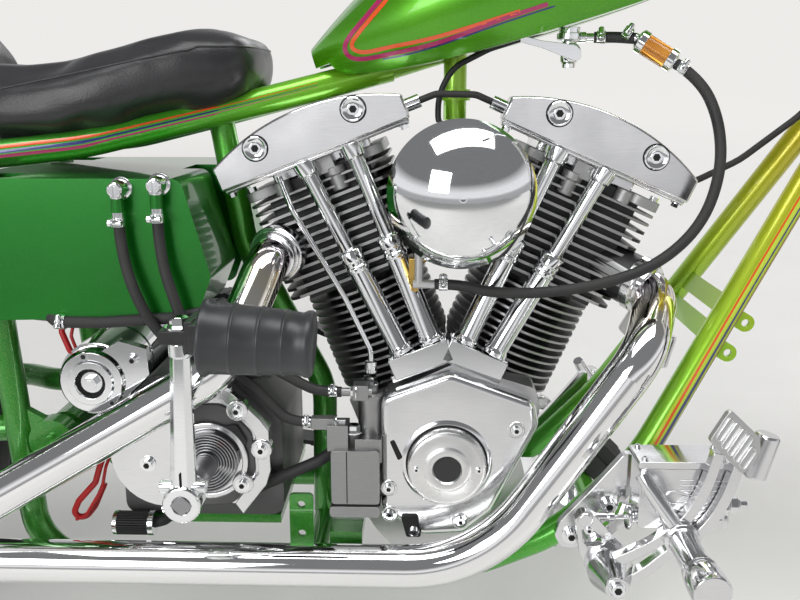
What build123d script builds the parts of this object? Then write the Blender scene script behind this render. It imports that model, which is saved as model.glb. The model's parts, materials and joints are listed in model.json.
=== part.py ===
"""Chopper motorcycle with an open V-twin, built up piece by piece.

The model is drawn upright: X forward, Y to the rider's left, Z up, crankshaft at X 0, floor at Z 0.
At the end every piece is laid over onto the side stand, which is how the machine parks.
"""
from build123d import *
from math import acos, asin, atan2, cos, degrees, hypot, pi, radians, sin, sqrt, tan
import os

# Stance of the parked machine, in degrees and millimetres
LEAN = 10.0
STEER_LOCK = 28.0
STAND_SWING = 80.0
KICK_SWING = 95.0
RUN = 0.3
CENTRE = Align.CENTER
LOW = Align.MIN

# Wheels
REAR_AXLE_X = -840.0
REAR_TYRE_R = 320.0
REAR_TYRE_W = 130.0
REAR_RIM_R = 208.0
REAR_RIM_W = 84.0
FRONT_TYRE_R = 345.0
FRONT_TYRE_W = 80.0
FRONT_RIM_R = 270.0
FRONT_RIM_W = 56.0
RIM_DEPTH = 20.0
SPOKES = 40
SPOKE_D = 3.6
SPOKE_SWING = 20.0
AXLE_D = 20.0

# Frame
RAKE = 40.0
NECK_X = 473.0
NECK_Z = 840.0
NECK_LENGTH = 150.0
NECK_D = 52.0
STEM_D = 25.4
TUBE_D = 28.6
BACKBONE_D = 34.0
RAIL_Z = 182.0
RAIL_Y = 118.0
DOWNTUBE_X = 280.0
DOWNTUBE_Y = 90.0
DOWNTUBE_Z = 431.0
DOWNTUBE_SLOPE = 0.6
DOWNTUBE_SPLAY = 0.23
DOWNTUBE_TOP = 805.0
BACKBONE_END_X = -95.0
BACKBONE_X0_Z = 738.0
BACKBONE_RISE = 0.305
SEAT_RAIL_Z = REAR_TYRE_R + 304.0
SEAT_RAIL_Y = 112.0
UPRIGHT_X = -468.0
POST_FOOT_X = -142.0

# Swing arm and shock absorbers
PIVOT_X = -420.0
PIVOT_Z = 325.0
ARM_Y = 116.0
ARM_PIVOT_Y = 87.0
ARM_D = 29.0
PIVOT_BOLT_D = 16.0
SHOCK_TOP_X = -660.0
SHOCK_FOOT_X = -770.0
SHOCK_D = 46.0
SHOCK_COILS = 11
SHOCK_WIRE = 7.0

# Fork and bars
TREE_OFFSET = 50.0
FORK_Y = 98.0
STANCHION_D = 41.0
SLIDER_D = 56.0
SLIDER_LENGTH = 330.0
TREE_GAP = 12.0
TREE_THICK = 30.0
BAR_D = 25.4
BAR_HALF_WIDTH = 370.0
GRIP_D = 34.0
GRIP_LENGTH = 125.0
LAMP_D = 160.0

# Engine: crank height, angle between a cylinder and the upright, forward tilt of the whole engine
CRANK_Z = 250.0
HALF_VEE = 22.5
ENGINE_TILT = 1.15
CASE_R = 94.0
CASE_LEFT = 88.0
CASE_RIGHT = 62.0
DECK = 132.0
BARREL_TOP = 258.0
HEAD_TOP = 384.0
BARREL_R = 50.0
FIN_R = 70.0
FIN_PITCH = 8.8
FIN_THICK = 2.6
HEAD_CORE = 116.0
HEAD_FIN = 158.0
HEAD_FIN_DEPTH = 140.0
HEAD_FIN_PITCH = 9.8
HEAD_FIN_THICK = 3.2
ROCKER_FOOT = HEAD_TOP + 15.0
ROCKER_LIP = 4.0
ROCKER_RISE = 50.0
ROCKER_END_RISE = 25.0
ROCKER_LENGTH = 209.0
ROCKER_INSET = 11.0
ROCKER_RIGHT = 95.0
ROCKER_LEFT = 70.0
PORT_R = 28.0
PORT_LENGTH = 58.0
INTAKE_U = 330.0
GEARCASE_RIGHT = 104.0
CAM_COVER_RIGHT = 130.0
POINTS_RIGHT = 148.0
POINTS_R = 40.0
POINTS_X = 1.3
POINTS_Z = 313.0
DOME_X = 13.0
DOME_Z = 593.0
DOME_R = 72.0
DOME_BACK = 140.0
DOME_FRONT = 194.0

# Gearbox, starter and kick lever
MAIN_X = -300.0
MAIN_Z = 330.0
KICK_X = -250.0
KICK_Z = 309.0
KICK_PLATE = (-262.0, 312.0)
KICK_ARM_Y = -232.0
KICK_ARM_TOP_X = -238.0
KICK_ARM_TOP_Z = 482.0
PEDAL_Y = -268.0
PEDAL_D = 60.0
PEDAL_LENGTH = 112.0
PEDAL_RIBS = 14
PEDAL_HINGE_R = 13.5
STARTER_X = -366.0
STARTER_Z = 396.0
STARTER_R = 38.8

# Belt primary drive and final chain
BELT_Y = 138.0
BELT_W = 42.0
BELT_THICK = 6.0
FRONT_PULLEY_R = 50.0
CLUTCH_PULLEY_R = 92.0
CHAIN_Y = 84.0
CHAIN_PITCH = 15.875
CHAIN_W = 16.0
CHAIN_H = 14.0
CHAIN_WAIST = 3.0
CHAIN_LINKS = 104
REAR_TEETH = 48
FRONT_TEETH = 24
ROTOR_R = 146.0
ROTOR_Y = -85.0

# Exhaust
PIPE_D = 44.5
PIPE_Y = 170.0
LOW_PIPE_Z = 209.0
HIGH_PIPE_Z = 262.0
PIPE_END_X = -905.0
PIPE_WALL = 2.0

# Bodywork
TANK_TAIL_X = -130.0
TANK_LENGTH = 470.0
SEAT_NOSE_X = -173.0
SEAT_NOSE_HALF = 84.0
SEAT_HALF = 124.0
REAR_PAD_HALF = 112.0
OIL_TANK_Y = 150.0
OIL_TANK_FLOOR = 463.0
OIL_TANK_TOP = SEAT_RAIL_Z - 17.0
OIL_TANK_FRONT = -234.0
OIL_TANK_BACK = -500.0
FENDER_R = REAR_TYRE_R + 52.0
FENDER_W = 156.0
FENDER_SHEET = 3.0
FENDER_SKIRT = 50.0
FENDER_ARC = 125.0
FENDER_REAR = 75.0

# Side stand
STAND_X = 150.0
STAND_Y = 150.0
STAND_Z = 200.0
STAND_D = 19.0
STAND_FOOT_X = 215.0
STAND_FOOT_Y = 300.0
STAND_FOOT_R = 28.0
STAND_FOOT_THICK = 8.0

CRANK = (0, 0, CRANK_Z)
STEER_AXIS = (-sin(radians(RAKE)), 0, cos(radians(RAKE)))
NECK = Plane(origin=(NECK_X, 0, NECK_Z), x_dir=(cos(radians(RAKE)), 0, sin(radians(RAKE))), z_dir=STEER_AXIS)
FRONT_DROP = (NECK_Z + TREE_OFFSET * sin(radians(RAKE)) - FRONT_TYRE_R) / cos(radians(RAKE))
FRONT_AXLE = NECK.from_local_coords(Vector(TREE_OFFSET, 0, -FRONT_DROP))
REAR_AXLE = Vector(REAR_AXLE_X, 0, REAR_TYRE_R)


def rod(start, end, diameter):
    """Round bar from one point to another."""
    start, end = Vector(*start), Vector(*end)
    along = end - start
    return Plane(origin=start, z_dir=along) * Cylinder(diameter / 2, along.length, align=(CENTRE, CENTRE, LOW))


def disc(place, radius, right, left):
    """Round piece across the machine: place is (x, z), right and left are the y of its two faces."""
    return rod((place[0], right, place[1]), (place[0], left, place[1]), 2 * radius)


def bent(points, radii, diameter, bore=0):
    """Bent tube along straight runs joined by arcs, open at both ends where it has a bore."""
    path = FilletPolyline(*points, radius=radii)
    start = Plane(origin=path @ 0, z_dir=path % 0)
    outline = Circle(diameter / 2) - Circle(bore / 2) if bore else Circle(diameter / 2)
    return sweep(start * outline, path=path)


def hose(points, diameter):
    """Hose along a route, each bend as wide as its two runs allow."""
    route = [Vector(*point) for point in points]
    radii = []
    for before, corner, after in zip(route, route[1:], route[2:]):
        half_turn = radians((corner - before).get_angle(after - corner)) / 2
        radii.append(0.45 * min((corner - before).length, (after - corner).length) / tan(half_turn))
    print("hose bends", [round(radius) for radius in radii], "mm")
    return bent(points, radii, diameter)


def both_sides(shape):
    """The same piece on the right and on the left."""
    return shape + mirror(shape, about=Plane.XZ)


def plate(points, right, left, corner=0):
    """Flat plate whose outline is drawn in x and z and which spans two values of y."""
    outline = Plane.XZ * make_face(Polyline(*points, close=True))
    if corner:
        outline = fillet(outline.vertices(), corner)
    return Pos(0, left, 0) * extrude(outline, left - right)


def ring(profile, place):
    """Turned piece about a wheel's axle: profile is a face drawn in (y, r)."""
    turned = revolve(Plane.YZ * profile, Axis.Y)
    return Pos(place[0], 0, place[1]) * turned


def backbone_z(x):
    """Height of the backbone tube's centre line."""
    return BACKBONE_X0_Z + BACKBONE_RISE * x


def downtube_point(z, side):
    """Centre of a front downtube at height z: side is -1 on the right and 1 on the left."""
    over = z - DOWNTUBE_Z
    return (DOWNTUBE_X + DOWNTUBE_SLOPE * over, side * (DOWNTUBE_Y - DOWNTUBE_SPLAY * over), z)


def cylinder_plane(lead):
    """Frame of a cylinder, z up its bore and x forward: lead is 1 for the front, -1 for the rear."""
    angle = radians(lead * HALF_VEE + ENGINE_TILT)
    return Plane(origin=CRANK, x_dir=(cos(angle), 0, -sin(angle)), z_dir=(sin(angle), 0, cos(angle)))


def beyond_middle(lead):
    """Block that fills the other cylinder's half of the vee, for trimming."""
    angle = radians(ENGINE_TILT)
    middle = Plane(origin=CRANK, x_dir=(cos(angle), 0, -sin(angle)), z_dir=(sin(angle), 0, cos(angle)))
    return middle * Pos(-lead * (200 - 3 * RUN), 0, 0) * Box(400, 400, 1200)


# Frame


def frame_backbone():
    """Steering neck, backbone tube and the short tube that steadies the cylinder heads."""
    neck = NECK * (Cylinder(NECK_D / 2, NECK_LENGTH) - Cylinder(STEM_D / 2 + RUN, NECK_LENGTH))
    neck_join = NECK_X - NECK_D / 2
    tube = rod((BACKBONE_END_X, 0, backbone_z(BACKBONE_END_X)), (neck_join, 0, backbone_z(neck_join)), BACKBONE_D)
    tube = tube - NECK * Cylinder(NECK_D / 2 - 1, NECK_LENGTH)
    steady_x = 10.0
    steady = rod((steady_x, 0, 655), (steady_x, 0, backbone_z(steady_x)), 25.4)
    collar = rod((steady_x, 0, 680), (steady_x, 0, 692), 34)
    return neck + tube + steady + collar + both_sides(bent(SEAT_RAIL, [200, 200, 200], TUBE_D))


# Seat rail and fender strut of the left side, from the backbone back
SEAT_RAIL = (
    (-62, 3, 714),
    (-243, 52, 668),
    (-372, 92, 637),
    (-490, SEAT_RAIL_Y, SEAT_RAIL_Z),
    (-800, SEAT_RAIL_Y, SEAT_RAIL_Z + 26),
)


def rail_z(x):
    """Height of the seat rail's centre line."""
    for (x1, _, z1), (x2, _, z2) in zip(SEAT_RAIL, SEAT_RAIL[1:]):
        if x2 <= x <= x1:
            return z1 + (z2 - z1) * (x1 - x) / (x1 - x2)
    return SEAT_RAIL[0][2]


def frame_seat_post():
    """Bent post under the seat, with the cross tube that ties the lower rails."""
    post = bent([(-250, 0, 655), (-228, 0, 520), (POST_FOOT_X + 2, 0, 350), (POST_FOOT_X, 0, RAIL_Z)], [90, 90], TUBE_D)
    tie_half = RAIL_Y - TUBE_D / 2 - RUN
    tie = rod((POST_FOOT_X, -tie_half, RAIL_Z), (POST_FOOT_X, tie_half, RAIL_Z), TUBE_D)
    return post + tie


def cradle(side):
    """One side of the double cradle: downtube, lower rail and rear upright in one bent tube."""
    points = [
        downtube_point(DOWNTUBE_TOP, side),
        downtube_point(309, side),
        (122, side * RAIL_Y, 222),
        (28, side * RAIL_Y, RAIL_Z),
        (UPRIGHT_X + 22, side * RAIL_Y, RAIL_Z),
        (UPRIGHT_X - 12, side * SEAT_RAIL_Y, rail_z(UPRIGHT_X - 12) - TUBE_D / 2 - 2 * RUN),
    ]
    tube = bent(points, [200, 150, 150, 62], TUBE_D)
    tube -= NECK * Cylinder(NECK_D / 2 + RUN, NECK_LENGTH + 60)
    tube -= Pos(NECK_X, -side * (50 - RUN / 2), NECK_Z) * Box(160, 100, 300)
    faces = sorted((side * (RAIL_Y - 12), side * (RAIL_Y + 10)))
    lug = disc((PIVOT_X, PIVOT_Z), 24, *faces)
    web = plate([(PIVOT_X - 4, PIVOT_Z - 20), (PIVOT_X - 4, PIVOT_Z + 20), (UPRIGHT_X, PIVOT_Z + 45),
                 (UPRIGHT_X, PIVOT_Z - 45)], *sorted((side * (RAIL_Y - 8), side * (RAIL_Y + 2))))
    return tube + lug + web - disc((PIVOT_X, PIVOT_Z), PIVOT_BOLT_D / 2 + RUN, -200, 200)


TAB_HEIGHTS = (462.0, 431.0)
TAB_REACH = 23.0
TAB_R = 9.5
TAB_THICK = 5.0
ACCESSORY_BOLT_D = 8.4


def tab_hole(z):
    """Centre of the hole in the tab that meets the right downtube at height z."""
    x, y, _ = downtube_point(z, -1)
    lean = atan2(DOWNTUBE_SLOPE, 1)
    return (x + TAB_REACH * cos(lean), y, z - TAB_REACH * sin(lean))


def accessory_tabs():
    """Two drilled tabs on the front of the right downtube."""
    tabs = []
    for height in TAB_HEIGHTS:
        root, hole = downtube_point(height, -1), tab_hole(height)
        outline = loop_face((root[0], root[2]), TAB_R, (hole[0], hole[2]), TAB_R)
        tab = Pos(0, hole[1] + TAB_THICK / 2, 0) * extrude(Plane.XZ * outline, TAB_THICK)
        tabs.append(tab - disc((hole[0], hole[2]), ACCESSORY_BOLT_D / 2, -200, 0))
    return tabs


BRACKET_X = -154.0
BRACKET_Y = RAIL_Y + 6.0
BRACKET_HOLES = (220.0, 254.0)


def rail_bracket():
    """Upright drilled plate on the right lower rail, beside the gearbox."""
    top = BRACKET_HOLES[-1] + 12
    bracket = plate([(BRACKET_X - 13, RAIL_Z + 6), (BRACKET_X - 13, top), (BRACKET_X + 13, top),
                     (BRACKET_X + 13, RAIL_Z + 6)], -BRACKET_Y, TAB_THICK - BRACKET_Y, 5)
    for z in BRACKET_HOLES:
        bracket -= disc((BRACKET_X, z), ACCESSORY_BOLT_D / 2, -200, 0)
    return bracket


REGULATOR_TIE = (164, 246)
MOUNT_Z = 212.0


def frame_cross_members():
    """Straps and tubes that tie the two cradles, with the seats of the engine and gearbox."""
    inside = RAIL_Y - TUBE_D / 2 - RUN
    pieces = []
    for z in (465, 437):
        x, y, _ = downtube_point(z, 1)
        half = y - 2.8 - TUBE_D / 2 - RUN
        pieces.append(Pos(x, 0, z) * Rot(0, 31, 0) * Box(6, 2 * half, 22))
    pieces.append(disc(REGULATOR_TIE, 11, -inside, inside))
    for x in (-108, 108):
        pieces.append(Pos(x, 0, MOUNT_Z - RUN) * Box(36, 2 * inside, 14, align=(CENTRE, CENTRE, Align.MAX)))
    pieces.append(Pos(-262, 0, 232 - RUN) * Box(164, 2 * inside, 10, align=(CENTRE, CENTRE, Align.MAX)))
    return Compound(children=pieces)


# Engine


def crankcase():
    """Flywheel case with the two cylinder decks and the gear case on the right."""
    case = disc((0, CRANK_Z), CASE_R, -CASE_RIGHT, CASE_LEFT)
    case += plate([(-86, 212), (-86, 240), (86, 240), (86, 212), (60, 172), (-60, 172)], -58, 84, 8)
    for lead in (-1, 1):
        deck = cylinder_plane(lead) * Pos(0, 0, 60) * Box(124, 116, DECK - 60, align=(CENTRE, CENTRE, LOW))
        case += deck - beyond_middle(lead)
        case += Pos(lead * 108, 0, MOUNT_Z) * Box(36, 150, 16, align=(CENTRE, CENTRE, LOW))
    gearcase = plate(CAM_OUTLINE, -GEARCASE_RIGHT, -CASE_RIGHT, 10)
    for lead in (-1, 1):
        gearcase -= cylinder_plane(lead) * Pos(0, 0, DECK - 6) * Cylinder(FIN_R + 2, 120, align=(CENTRE, CENTRE, LOW))
    crank_end = disc((0, CRANK_Z), 24, CASE_LEFT, BELT_Y - RUN)
    return case + gearcase + crank_end


CAM_OUTLINE = [(10, 408), (98, 381), (101, 350), (46, 236), (14, 221), (-36, 227), (-67, 290), (-64, 374)]


def cam_cover():
    """Polished gear cover with the round points cover on its boss."""
    cover = plate(CAM_OUTLINE, -CAM_COVER_RIGHT, -GEARCASE_RIGHT - RUN, 12)
    points = disc((POINTS_X, POINTS_Z), POINTS_R, -POINTS_RIGHT, -CAM_COVER_RIGHT)
    return cover + points


# Where each exhaust port leaves the core of its head, and the way it points, in the cylinder's frame
PORTS = {
    1: ((50, -30, 302), (0.75, -0.66, 0)),
    -1: ((-50, -20, 318), (-0.30, -0.954, 0)),
}


def cylinder(lead):
    """Finned iron barrel and aluminium head on one bore."""
    base = DECK + RUN
    upward = (CENTRE, CENTRE, LOW)
    body = Pos(0, 0, base) * Cylinder(BARREL_R, BARREL_TOP - base, align=upward)
    for i in range(int((BARREL_TOP - base - 8) / FIN_PITCH)):
        body += Pos(0, 0, base + 8 + i * FIN_PITCH) * Cylinder(FIN_R, FIN_THICK, align=upward)
    body += Pos(0, 0, BARREL_TOP - 2) * Box(HEAD_CORE, HEAD_CORE, HEAD_TOP - BARREL_TOP + 2, align=upward)
    for i in range(int((HEAD_TOP - BARREL_TOP - 20) / HEAD_FIN_PITCH)):
        fin = extrude(RectangleRounded(HEAD_FIN, HEAD_FIN_DEPTH, 18), HEAD_FIN_THICK)
        body += Pos(0, 0, BARREL_TOP + 4 + i * HEAD_FIN_PITCH) * fin
    start, way = PORTS[lead]
    body += rod(start, Vector(*start) + Vector(*way).normalized() * PORT_LENGTH, 2 * PORT_R)
    body += Pos(-lead * (HEAD_FIN / 2 - 14), 0, INTAKE_U) * Rot(0, 90, 0) * Cylinder(27, 34)
    return cylinder_plane(lead) * body - beyond_middle(lead)


def rocker_box(lead):
    """Bow-topped rocker box with two round plugs on its right face."""
    half = ROCKER_LENGTH / 2
    middle = -lead * ROCKER_INSET
    end = ROCKER_END_RISE
    side = make_face(Polyline((-half, end), (-half, 0), (half, 0), (half, end))
                     + ThreePointArc((half, end), (0, ROCKER_RISE), (-half, end)))
    body = Plane.XZ * side
    body = Pos(middle, ROCKER_LEFT, ROCKER_FOOT) * extrude(body, ROCKER_LEFT + ROCKER_RIGHT)
    plan = make_face(Polyline((-half, -ROCKER_RIGHT), (half, -ROCKER_RIGHT), (half, -60), (62, ROCKER_LEFT),
                              (-62, ROCKER_LEFT), (-half, -60), close=True))
    body &= Pos(middle, 0, ROCKER_FOOT) * extrude(plan, ROCKER_RISE)
    lip = Pos(middle, 0, ROCKER_FOOT - ROCKER_LIP) * extrude(offset(plan, -2, kind=Kind.INTERSECTION), ROCKER_LIP + 1)
    body += lip
    foot = Pos(middle, -10, HEAD_TOP + RUN) * Box(112, 96, ROCKER_FOOT - HEAD_TOP, align=(CENTRE, CENTRE, LOW))
    for x in (-54, 54):
        plug = Pos(middle + x, -ROCKER_RIGHT, ROCKER_FOOT + 29) * Rot(90, 0, 0)
        body += plug * Cylinder(12, 4)
        body -= plug * extrude(RegularPolygon(5, 6), 2)
    return cylinder_plane(lead) * (body + foot)


# Where the pushrod tubes stand in a cylinder's frame, as inward offsets from its axis
PUSHRODS = (  # top offset, foot offset
    (-5, 18),
    (48, 52),
)
PUSHROD_TOP_U = ROCKER_FOOT - ROCKER_LIP - 1.6
PUSHROD_FOOT_U = 172.0
PUSHROD_TOP_Y = -83.0
PUSHROD_FOOT_Y = -90.0


TUBE_SLEEVES = (  # share of the tube's length where a sleeve starts and ends, and its diameter
    (0.0, 0.14, 25),
    (0.14, 0.50, 21),
    (0.50, 0.58, 24),
    (0.58, 1.0, 16),
)


def pushrod_tubes():
    """Telescoping pushrod tubes on their lifter blocks, two to a cylinder."""
    sets = []
    for lead in (-1, 1):
        block = Pos(-lead * 35, PUSHROD_FOOT_Y, 144) * Box(62, 28, 40)
        block += Pos(-lead * 30, PUSHROD_FOOT_Y, 155) * Box(76, 26, 10)
        for top, foot in PUSHRODS:
            head = Vector(-lead * top, PUSHROD_TOP_Y, PUSHROD_TOP_U)
            base = Vector(-lead * foot, PUSHROD_FOOT_Y, PUSHROD_FOOT_U)
            block += rod((base.X, base.Y, 150), (base.X, base.Y, PUSHROD_FOOT_U), 28)
            for start, end, diameter in TUBE_SLEEVES:
                block += rod(base + (head - base) * start, base + (head - base) * end, diameter)
        block = cylinder_plane(lead) * block - Pos(0, 0, 2 * RUN) * plate(CAM_OUTLINE, -140, -40)
        sets.append(block - beyond_middle(lead))
    return Compound(children=sets)


def oil_pump():
    """Oil pump body low on the gear case, with its hose stubs."""
    edge = -67.4
    body = plate([(-118, 264), (-118, 362), (-92, 362), (-88, 396), (-70, 396), (edge, 300), (edge, 264)], -146,
                 -CASE_RIGHT - RUN, 4)
    for _, _, x, z in OIL_FITTINGS:
        body += rod((x + 30, OIL_BARB_Y, z), (x, OIL_BARB_Y, z), 9)
    return body - cylinder_plane(-1) * Pos(0, 0, DECK - 6) * Cylinder(FIN_R + 2, 120, align=(CENTRE, CENTRE, LOW))


def carburettor():
    """Carburettor between the cylinders with its short intake manifold."""
    body = disc((DOME_X, DOME_Z), 27, -DOME_BACK + RUN, -25)
    body += disc((DOME_X, DOME_Z), 34, -118, -92)
    body += rod((DOME_X, -105, DOME_Z - 30), (DOME_X, -105, DOME_Z - 68), 46)
    for lead in (-1, 1):
        stub = Pos(-lead * (HEAD_FIN / 2 + 3 + RUN), 0, INTAKE_U) * Rot(0, -lead * 90, 0)
        body += cylinder_plane(lead) * stub * Cylinder(21, 52, align=(CENTRE, CENTRE, LOW))
    body += disc((7, 600), 24, -40, 24)
    inlet_x, inlet_y, inlet_z = FUEL_INLET
    body += rod((inlet_x - 22, inlet_y, inlet_z), (inlet_x, inlet_y, inlet_z), 9)
    body += rod((inlet_x - 16, inlet_y, inlet_z), (inlet_x - 16, inlet_y, inlet_z + 46), 9)
    body += rod((inlet_x - 16, inlet_y, inlet_z + 42), (DOME_X - 8, inlet_y + 4, inlet_z + 42), 9)
    return body


def rocker_oil_lines():
    """Oil line down the right of the rear cylinder, and the short one between the two rocker boxes."""
    rear, front = cylinder_plane(-1), cylinder_plane(1)
    top = rear.from_local_coords(Vector(-33.5, -84, ROCKER_FOOT - ROCKER_LIP - 3))
    line = bent([tuple(top), (-160, -97, 572), (-106, -97, 478), (-79, -97, 420), (-79, -97, 396 + RUN)],
                [14, 60, 20], 6)
    line += rod((-79, -97, 396 + RUN), (-79, -97, 408), 13)
    end = ROCKER_LENGTH / 2 + ROCKER_INSET
    middle_u = ROCKER_FOOT + ROCKER_END_RISE / 2
    ends = []
    for place, side in ((rear, 1), (front, -1)):
        for out in (RUN, 15, 33):
            ends.append(place.from_local_coords(Vector(side * (end + out), -78, middle_u)))
    rear_face, rear_out, rear_lift, front_face, front_out, front_lift = ends
    cross = bent([tuple(rear_out), tuple(rear_lift), tuple(front_lift), tuple(front_out)], [20, 20], 7)
    cross += rod(rear_face, rear_out, 14) + rod(front_face, front_out, 14)
    return Compound(children=[line, cross])


def air_cleaner():
    """Plain domed air cleaner cover on its back plate."""
    depth, rim = DOME_FRONT - DOME_BACK, 18.0
    rise = depth - rim
    ball = (rise ** 2 + DOME_R ** 2) / (2 * rise)
    half = asin(DOME_R / ball) / 2
    crown = (ball * sin(half), depth - ball + ball * cos(half))
    profile = make_face(Polyline((0, depth), (0, 0), (DOME_R, 0), (DOME_R, rim))
                        + ThreePointArc((DOME_R, rim), crown, (0, depth)))
    dome = revolve(Plane.XZ * profile, Axis.Z)
    return Pos(DOME_X, -DOME_BACK, DOME_Z) * Rot(90, 0, 0) * dome


# Drive train


def transmission():
    """Four-speed gearbox case with the bosses of its shafts."""
    case = plate([(-352, 232), (-352, 352), (-318, 392), (-208, 392), (-176, 340), (-176, 232)], -104, 58, 14)
    case += disc((MAIN_X, MAIN_Z), 40, 58, 70)
    return case


def kicker_cover():
    """Round-ended kicker cover on the right of the gearbox, with the kick shaft through it."""
    outline = [(-343, 300), (-330, 350), (-290, 385), (-225, 385), (-188, 345), (-185, 290), (-215, 245), (-300, 240)]
    cover = plate(outline, -136, -104 - RUN, 14)
    half = disc(KICK_PLATE, 62, -146, -136) - Pos(KICK_PLATE[0] + 50, -140, KICK_PLATE[1]) * Box(108, 40, 140)
    cover += half + disc((KICK_X, KICK_Z), 43, -139, -136) + disc((KICK_X, KICK_Z), 13, -202, -136)
    return cover - disc((KICK_PLATE[0] - 49, KICK_PLATE[1]), 5, -160, -141)


def starter_motor():
    """Starter motor above the gearbox, its polished end cover to the right."""
    body = disc((STARTER_X, STARTER_Z), STARTER_R, -128, 66)
    lobe = loop_face((STARTER_X, STARTER_Z), 27, (STARTER_X + 46, STARTER_Z + 24), 16)
    cover = Pos(0, -128, 0) * extrude(Plane.XZ * lobe, 14)
    cap = disc((STARTER_X, STARTER_Z), 19, -146, -142) - disc((STARTER_X, STARTER_Z), 8, -150, -144)
    return body + cover + cap


def primary_pulleys():
    """Engine pulley and clutch basket of the open belt primary, on their shafts."""
    front = disc((0, CRANK_Z), FRONT_PULLEY_R, BELT_Y, BELT_Y + BELT_W)
    clutch = disc((MAIN_X, MAIN_Z), CLUTCH_PULLEY_R, BELT_Y, BELT_Y + BELT_W)
    clutch += disc((MAIN_X, MAIN_Z), 58, BELT_Y + BELT_W, BELT_Y + BELT_W + 16)
    clutch += disc((MAIN_X, MAIN_Z), 14, 70 + RUN, BELT_Y)
    clutch += disc((MAIN_X, MAIN_Z), CHAIN_PITCH / (2 * sin(pi / FRONT_TEETH)) - CHAIN_H / 2 - RUN, CHAIN_Y - 4, CHAIN_Y + 4)
    return Compound(children=[front, clutch])


def loop_face(first, first_r, second, second_r):
    """Face of a band stretched round two circles, drawn in x and z."""
    first, second = Vector(*first), Vector(*second)
    span = second - first
    base = atan2(span.Y, span.X)
    spread = acos((first_r - second_r) / span.length)
    points = []
    for sign in (1, -1):
        for centre, radius in ((first, first_r), (second, second_r)):
            angle = base + sign * spread
            points.append(centre + Vector(cos(angle), sin(angle)) * radius)
    near = first - span.normalized() * first_r
    far = second + span.normalized() * second_r
    edges = Line(points[0], points[1]) + ThreePointArc(points[1], far, points[3])
    edges += Line(points[3], points[2]) + ThreePointArc(points[2], near, points[0])
    return make_face(edges)


def band(first, first_r, second, second_r, thick, right, left):
    """Endless band of one thickness round two pulleys, inner radii given."""
    face = loop_face(first, first_r + thick, second, second_r + thick) - loop_face(first, first_r, second, second_r)
    return Pos(0, left, 0) * extrude(Plane.XZ * face, left - right)


def primary_belt():
    """Toothed primary belt round the engine pulley and the clutch basket."""
    return band((0, CRANK_Z), FRONT_PULLEY_R + RUN, (MAIN_X, MAIN_Z), CLUTCH_PULLEY_R + RUN, BELT_THICK,
                BELT_Y + 2, BELT_Y + BELT_W - 2)


def along_loop(first, first_r, second, second_r, count):
    """Points spread evenly round a loop about two circles in x and z, each with the way outward."""
    first, second = Vector(*first), Vector(*second)
    span = second - first
    base = atan2(span.Y, span.X)
    spread = acos((first_r - second_r) / span.length)
    flat = sqrt(span.length ** 2 - (first_r - second_r) ** 2)
    first_arc, second_arc = first_r * (2 * pi - 2 * spread), second_r * 2 * spread
    whole = first_arc + second_arc + 2 * flat
    spots = []
    for i in range(count):
        at = whole * i / count
        if at < first_arc:
            heading, centre, radius, along = base + spread + at / first_r, first, first_r, 0
        elif at < first_arc + flat:
            heading, centre, radius, along = base - spread, first, first_r, at - first_arc
        elif at < first_arc + flat + second_arc:
            heading = base - spread + (at - first_arc - flat) / second_r
            centre, radius, along = second, second_r, 0
        else:
            heading, centre, radius, along = base + spread, first, first_r, at - whole
        out = Vector(cos(heading), sin(heading))
        spots.append((centre + out * radius + Vector(-out.Y, out.X) * along, out))
    return spots


def final_chain():
    """Final drive chain as one loop: two rows of waisted side plates on a core of rollers."""
    front_r = CHAIN_PITCH / (2 * sin(pi / FRONT_TEETH))
    rear_r = CHAIN_PITCH / (2 * sin(pi / REAR_TEETH))
    sprockets = (MAIN_X, MAIN_Z), front_r, (REAR_AXLE.X, REAR_AXLE.Z), rear_r
    edge = []
    for i, (spot, out) in enumerate(along_loop(*sprockets, 2 * CHAIN_LINKS)):
        edge.append(spot + out * (CHAIN_H / 2 - (i % 2) * CHAIN_WAIST))
    inside = loop_face(sprockets[0], front_r - CHAIN_H / 2, sprockets[2], rear_r - CHAIN_H / 2)
    plates = make_face(Polyline(*edge, close=True)) - inside
    chain = band(sprockets[0], front_r - CHAIN_H / 4, sprockets[2], rear_r - CHAIN_H / 4, CHAIN_H / 2,
                 CHAIN_Y - CHAIN_W / 2, CHAIN_Y + CHAIN_W / 2)
    for middle in (CHAIN_Y - CHAIN_W / 2 + 2, CHAIN_Y + CHAIN_W / 2 - 2):
        chain += Pos(0, middle + 2, 0) * extrude(Plane.XZ * plates, 4)
    return chain


# Exhaust


def exhaust_pipe(points, radii):
    """Chrome pipe, hollow from its mouth."""
    solid = bent(points, radii, PIPE_D)
    mouth = rod((PIPE_END_X, points[-1][1], points[-1][2]), (PIPE_END_X + 160, points[-1][1], points[-1][2]),
                PIPE_D - 2 * PIPE_WALL)
    return solid - mouth


def port_run(lead):
    """First run of a pipe, straight out of its port."""
    start, way = Vector(*PORTS[lead][0]), Vector(*PORTS[lead][1]).normalized()
    first = start + way * (PORT_LENGTH + RUN)
    place = cylinder_plane(lead)
    return [tuple(place.from_local_coords(point)) for point in (first, first + way * 24)]


def front_pipe():
    """Front cylinder's pipe, down past the gear cover and straight back along the floor."""
    return exhaust_pipe([*port_run(1), (196, -160, 438), (39, -PIPE_Y - 2, LOW_PIPE_Z),
                         (PIPE_END_X, -PIPE_Y, LOW_PIPE_Z)], [40, 55, 150])


def rear_pipe():
    """Rear cylinder's pipe, slanting back to lie above the front one."""
    return exhaust_pipe([*port_run(-1), (-222, -170, 422), (-497, -PIPE_Y - 10, HIGH_PIPE_Z),
                         (PIPE_END_X, -PIPE_Y - 4, HIGH_PIPE_Z)], [50, 70, 150])


# Tanks and seat


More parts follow.
